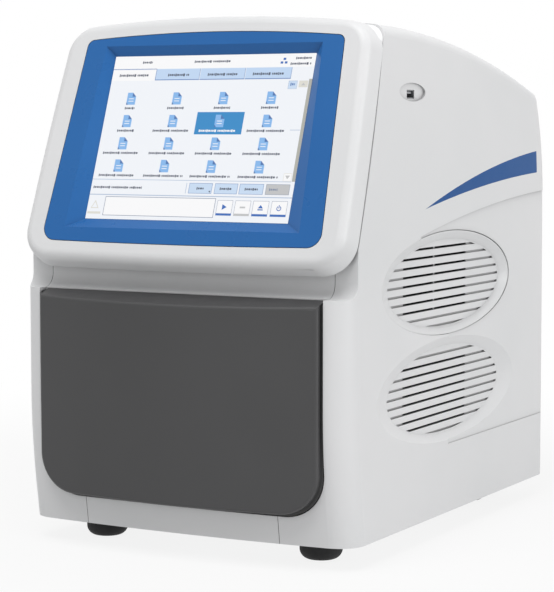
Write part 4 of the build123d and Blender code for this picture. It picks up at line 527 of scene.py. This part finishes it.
def draw_buttons(picture):
    """Status line, four word buttons, message box and four sign buttons."""
    picture.box("line", 1, 0, 455, 786, 457)
    picture.words("ink", 2, 10, 208, 485)
    picture.box("line", 2, 385, 465, 387, 503)
    for left, right, text in ((397, 488, 30), (498, 587, 48), (594, 686, 50)):
        picture.box("button", 1, left, 465, right, 501)
        picture.outline("tab_edge", 2, left, 465, right, 502)
        middle = (left + right) / 2
        picture.words("ink", 3, middle - text / 2, middle + text / 2, 484)
    picture.polygon("ink", 3, [(476, 492), (480, 499), (484, 492)])
    picture.box("grey", 1, 695, 465, 785, 502)
    picture.outline("soft_ink", 2, 695, 465, 785, 502)
    picture.words("soft_ink", 3, 708, 740, 484)
    picture.box("line", 1, 0, 510, GRID_W, 513)

    picture.polygon("faint", 2, [(14, 562), (47, 562), (30, 532)])
    picture.polygon("page", 3, [(19, 559), (42, 559), (30, 539)])
    picture.box("faint", 1, 4, 574, 58, 582)
    picture.box("white", 1, 68, 518, 511, 587)
    picture.outline("soft_ink", 2, 68, 518, 511, 587, 2.0)
    for left, strip in ((519, "strip"), (588, "grey"), (657, "strip"), (727, "strip")):
        picture.box("white", 1, left, 524, left + 60, 572)
        picture.outline("soft_ink", 2, left, 524, left + 60, 578, 1.2)
        picture.box(strip, 3, left, 570, left + 60, 578)
    picture.polygon("strip", 3, [(540, 558), (558, 548), (540, 538)])
    picture.box("grey", 3, 608, 545, 629, 551)
    picture.polygon("strip", 3, [(677, 550), (697, 550), (687, 538)])
    picture.box("strip", 3, 677, 553, 697, 557)
    draw_ring(picture, 757, 549, 9.0, 6.0)
    picture.box("strip", 3, 755.5, 537, 758.5, 549)


def draw_ring(picture, x, y, outer, inner, gap=0.5, steps=18):
    """An open ring of short four-sided stretches, with its gap at the top."""
    start, end = -pi / 2 + gap, 1.5 * pi - gap
    for step in range(steps):
        a = start + (end - start) * step / steps
        b = start + (end - start) * (step + 1) / steps
        corners = ((outer, a), (inner, a), (inner, b), (outer, b))
        picture.polygon("strip", 3, [(x + r * cos(t), y + r * sin(t)) for r, t in corners])


def make_picture(frame):
    """The whole screen picture."""
    picture = Picture(frame)
    draw_header(picture)
    draw_icons(picture)
    draw_scroll(picture)
    draw_buttons(picture)
    picture.build(PICTURE_COLORS)


def corner_point(mirror, across, up, depth):
    """A point in metres from millimetres across, up and out from the middle of the screen's face."""
    upward, outward = screen_axes()
    offset = Vector((mirror * across, 0.0, 0.0)) + upward * up + outward * depth
    return SCREEN_MIDDLE + offset / 1000.0


def closed_form(name, rows, slot, body):
    """A piece between closed rows of points, each joined to the next and the ends capped."""
    shape = bmesh.new()
    loops = [[shape.verts.new(point) for point in row] for row in rows]
    for loop, following in zip(loops, loops[1:]):
        for index in range(len(loop)):
            after = (index + 1) % len(loop)
            shape.faces.new((loop[index], loop[after], following[after], following[index]))
    shape.faces.new(loops[0])
    shape.faces.new(loops[-1])
    bmesh.ops.triangulate(shape, faces=shape.faces)
    bmesh.ops.remove_doubles(shape, verts=shape.verts, dist=0.000001)
    bmesh.ops.recalc_face_normals(shape, faces=shape.faces)
    mesh = bpy.data.meshes.new(name)
    shape.to_mesh(mesh)
    shape.free()
    mesh.shade_smooth()
    mesh.set_sharp_from_angle(angle=radians(SHARP_ANGLE))
    mesh.materials.append(bpy.data.materials[slot])
    piece = bpy.data.objects.new(name, mesh)
    bpy.context.scene.collection.objects.link(piece)
    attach(piece, body)


def arc_point(middle, radius, turn):
    """A point across and up on a circle."""
    return middle[0] + radius * cos(turn), middle[1] + radius * sin(turn)


def make_corners():
    """The rib and the fairing of each top corner."""
    sweep = radians(FAIRING_LAST - FAIRING_FIRST)
    turns = [radians(FAIRING_FIRST) + sweep * step / FAIRING_STEPS for step in range(FAIRING_STEPS + 1)]
    for side, mirror in (("left", -1.0), ("right", 1.0)):
        layers = [
            [corner_point(mirror, across, up, depth) for across, up in RIB_OUTLINE]
            for depth in (RIB_FRONT, RIB_BACK)
        ]
        closed_form(f"corner_rib_{side}", layers, "white_plastic", "chassis")

        arc = [arc_point(HOUSING_CORNER, HOUSING_RADIUS, turn) for turn in turns]
        sections = []
        for turn, edge in zip([turns[0], *turns, turns[-1]], [FAIRING_TOP, *arc, FAIRING_SIDE]):
            front = arc_point(BEZEL_CORNER, BEZEL_RADIUS, turn)
            inner = arc_point(BEZEL_CORNER, BEZEL_RADIUS - FAIRING_THICK, turn)
            sections.append(
                [
                    corner_point(mirror, *front, FAIRING_FRONT),
                    corner_point(mirror, *edge, FAIRING_BACK),
                    corner_point(mirror, *inner, FAIRING_BACK),
                ]
            )
        closed_form(f"corner_fairing_{side}", sections, "white_plastic", "chassis")


def make_lips():
    """A rubber lip behind each side of the drawer front and round its lower corner."""
    middle = (FRONT_HALF - FRONT_CORNER_R, FRONT_BOTTOM + FRONT_CORNER_R)
    turns = [-pi / 2 + pi / 2 * step / LIP_STEPS for step in range(LIP_STEPS + 1)]
    inner, outer = (
        [(middle[0] - LIP_RUN, middle[1] - radius)]
        + [arc_point(middle, radius, turn) for turn in turns]
        + [(middle[0] + radius, LIP_TOP)]
        for radius in (FRONT_CORNER_R - LIP_IN, FRONT_CORNER_R + LIP_OUT)
    )
    for side, mirror in (("left", -1.0), ("right", 1.0)):
        sections = []
        for near, far in zip(inner, outer):
            corners = ((near, LIP_FRONT_Y), (far, LIP_FRONT_Y), (far, LIP_BACK_Y), (near, LIP_BACK_Y))
            sections.append([Vector((mirror * x, y, z)) / 1000.0 for (x, z), y in corners])
        closed_form(f"drawer_lip_{side}", sections, "black_rubber", "drawer")


def make_camera():
    """The camera at the photograph's angle."""
    azimuth, elevation = radians(CAMERA_AZIMUTH), radians(CAMERA_ELEVATION)
    back = Vector((sin(azimuth) * cos(elevation), -cos(azimuth) * cos(elevation), sin(elevation)))
    right = Vector((cos(azimuth), sin(azimuth), 0.0))
    up = back.cross(right)
    data = bpy.data.cameras.new("camera")
    data.lens = CAMERA_LENS
    data.sensor_width = CAMERA_SENSOR
    camera = bpy.data.objects.new("camera", data)
    turn = Matrix((right, up, back)).transposed().to_4x4()
    camera.matrix_world = Matrix.Translation(CAMERA_AT) @ turn
    bpy.context.scene.collection.objects.link(camera)
    bpy.context.scene.camera = camera


def area_light(name, place, size, power):
    """A square soft box that faces the machine."""
    data = bpy.data.lights.new(name, "AREA")
    data.size = size
    data.energy = power
    lamp = bpy.data.objects.new(name, data)
    lamp.location = place
    lamp.rotation_euler = (LAMP_AIM - place).to_track_quat("-Z", "Y").to_euler()
    bpy.context.scene.collection.objects.link(lamp)


def seen_directly(nodes, links):
    """1 for rays from the camera, from gloss and through glass, 0 for the light on the object."""
    path = nodes.new("ShaderNodeLightPath")
    first = nodes.new("ShaderNodeMath")
    first.operation = "MAXIMUM"
    second = nodes.new("ShaderNodeMath")
    second.operation = "MAXIMUM"
    links.new(path.outputs["Is Camera Ray"], first.inputs[0])
    links.new(path.outputs["Is Glossy Ray"], first.inputs[1])
    links.new(first.outputs[0], second.inputs[0])
    links.new(path.outputs["Is Transmission Ray"], second.inputs[1])
    return second.outputs[0]


def make_studio():
    """White surroundings, a pale floor that keeps a soft shadow, and soft boxes."""
    world = bpy.data.worlds.new("studio")
    bpy.context.scene.world = world
    world.use_nodes = True
    nodes, links = world.node_tree.nodes, world.node_tree.links
    nodes.clear()
    out = nodes.new("ShaderNodeOutputWorld")
    dim = nodes.new("ShaderNodeBackground")
    dim.inputs["Color"].default_value = WHITE
    dim.inputs["Strength"].default_value = WORLD_LIGHT
    white = nodes.new("ShaderNodeBackground")
    white.inputs["Color"].default_value = WHITE
    white.inputs["Strength"].default_value = 1.0
    mix = nodes.new("ShaderNodeMixShader")
    links.new(seen_directly(nodes, links), mix.inputs["Fac"])
    links.new(dim.outputs["Background"], mix.inputs[1])
    links.new(white.outputs["Background"], mix.inputs[2])
    links.new(mix.outputs["Shader"], out.inputs["Surface"])

    half = FLOOR_SIZE / 2
    mesh = bpy.data.meshes.new("floor")
    corners = [(-half, -half, 0.0), (half, -half, 0.0), (half, half, 0.0), (-half, half, 0.0)]
    mesh.from_pydata(corners, [], [(0, 1, 2, 3)])
    floor = bpy.data.objects.new("floor", mesh)
    floor.location.z = -FLOOR_DROP
    bpy.context.scene.collection.objects.link(floor)
    material = plain("floor", FLOOR_GREY, 0.9)
    nodes, links = material.node_tree.nodes, material.node_tree.links
    glow = nodes.new("ShaderNodeEmission")
    glow.inputs["Color"].default_value = WHITE
    glow.inputs["Strength"].default_value = 1.0
    place = nodes.new("ShaderNodeTexCoord")
    reach = nodes.new("ShaderNodeVectorMath")
    reach.operation = "LENGTH"
    fade = nodes.new("ShaderNodeMapRange")
    fade.interpolation_type = "SMOOTHSTEP"
    fade.inputs["From Min"].default_value = FLOOR_NEAR
    fade.inputs["From Max"].default_value = FLOOR_FAR
    fade.inputs["To Min"].default_value = FLOOR_SHOWN
    fade.inputs["To Max"].default_value = 1.0
    links.new(place.outputs["Object"], reach.inputs[0])
    links.new(reach.outputs["Value"], fade.inputs["Value"])
    share = nodes.new("ShaderNodeMath")
    share.operation = "MULTIPLY"
    links.new(fade.outputs["Result"], share.inputs[1])
    mix = nodes.new("ShaderNodeMixShader")
    links.new(seen_directly(nodes, links), share.inputs[0])
    links.new(share.outputs[0], mix.inputs["Fac"])
    links.new(shader_of(material).outputs["BSDF"], mix.inputs[1])
    links.new(glow.outputs["Emission"], mix.inputs[2])
    links.new(mix.outputs["Shader"], nodes["Material Output"].inputs["Surface"])
    mesh.materials.append(material)

    area_light("top_box", TOP_BOX_AT, TOP_BOX_SIZE, TOP_BOX_POWER)
    area_light("right_box", RIGHT_BOX_AT, RIGHT_BOX_SIZE, RIGHT_BOX_POWER)


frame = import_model()
bpy.context.scene.view_settings.view_transform = "Standard"
dress(frame, make_materials())
make_picture(frame)
make_corners()
make_lips()
make_camera()
make_studio()
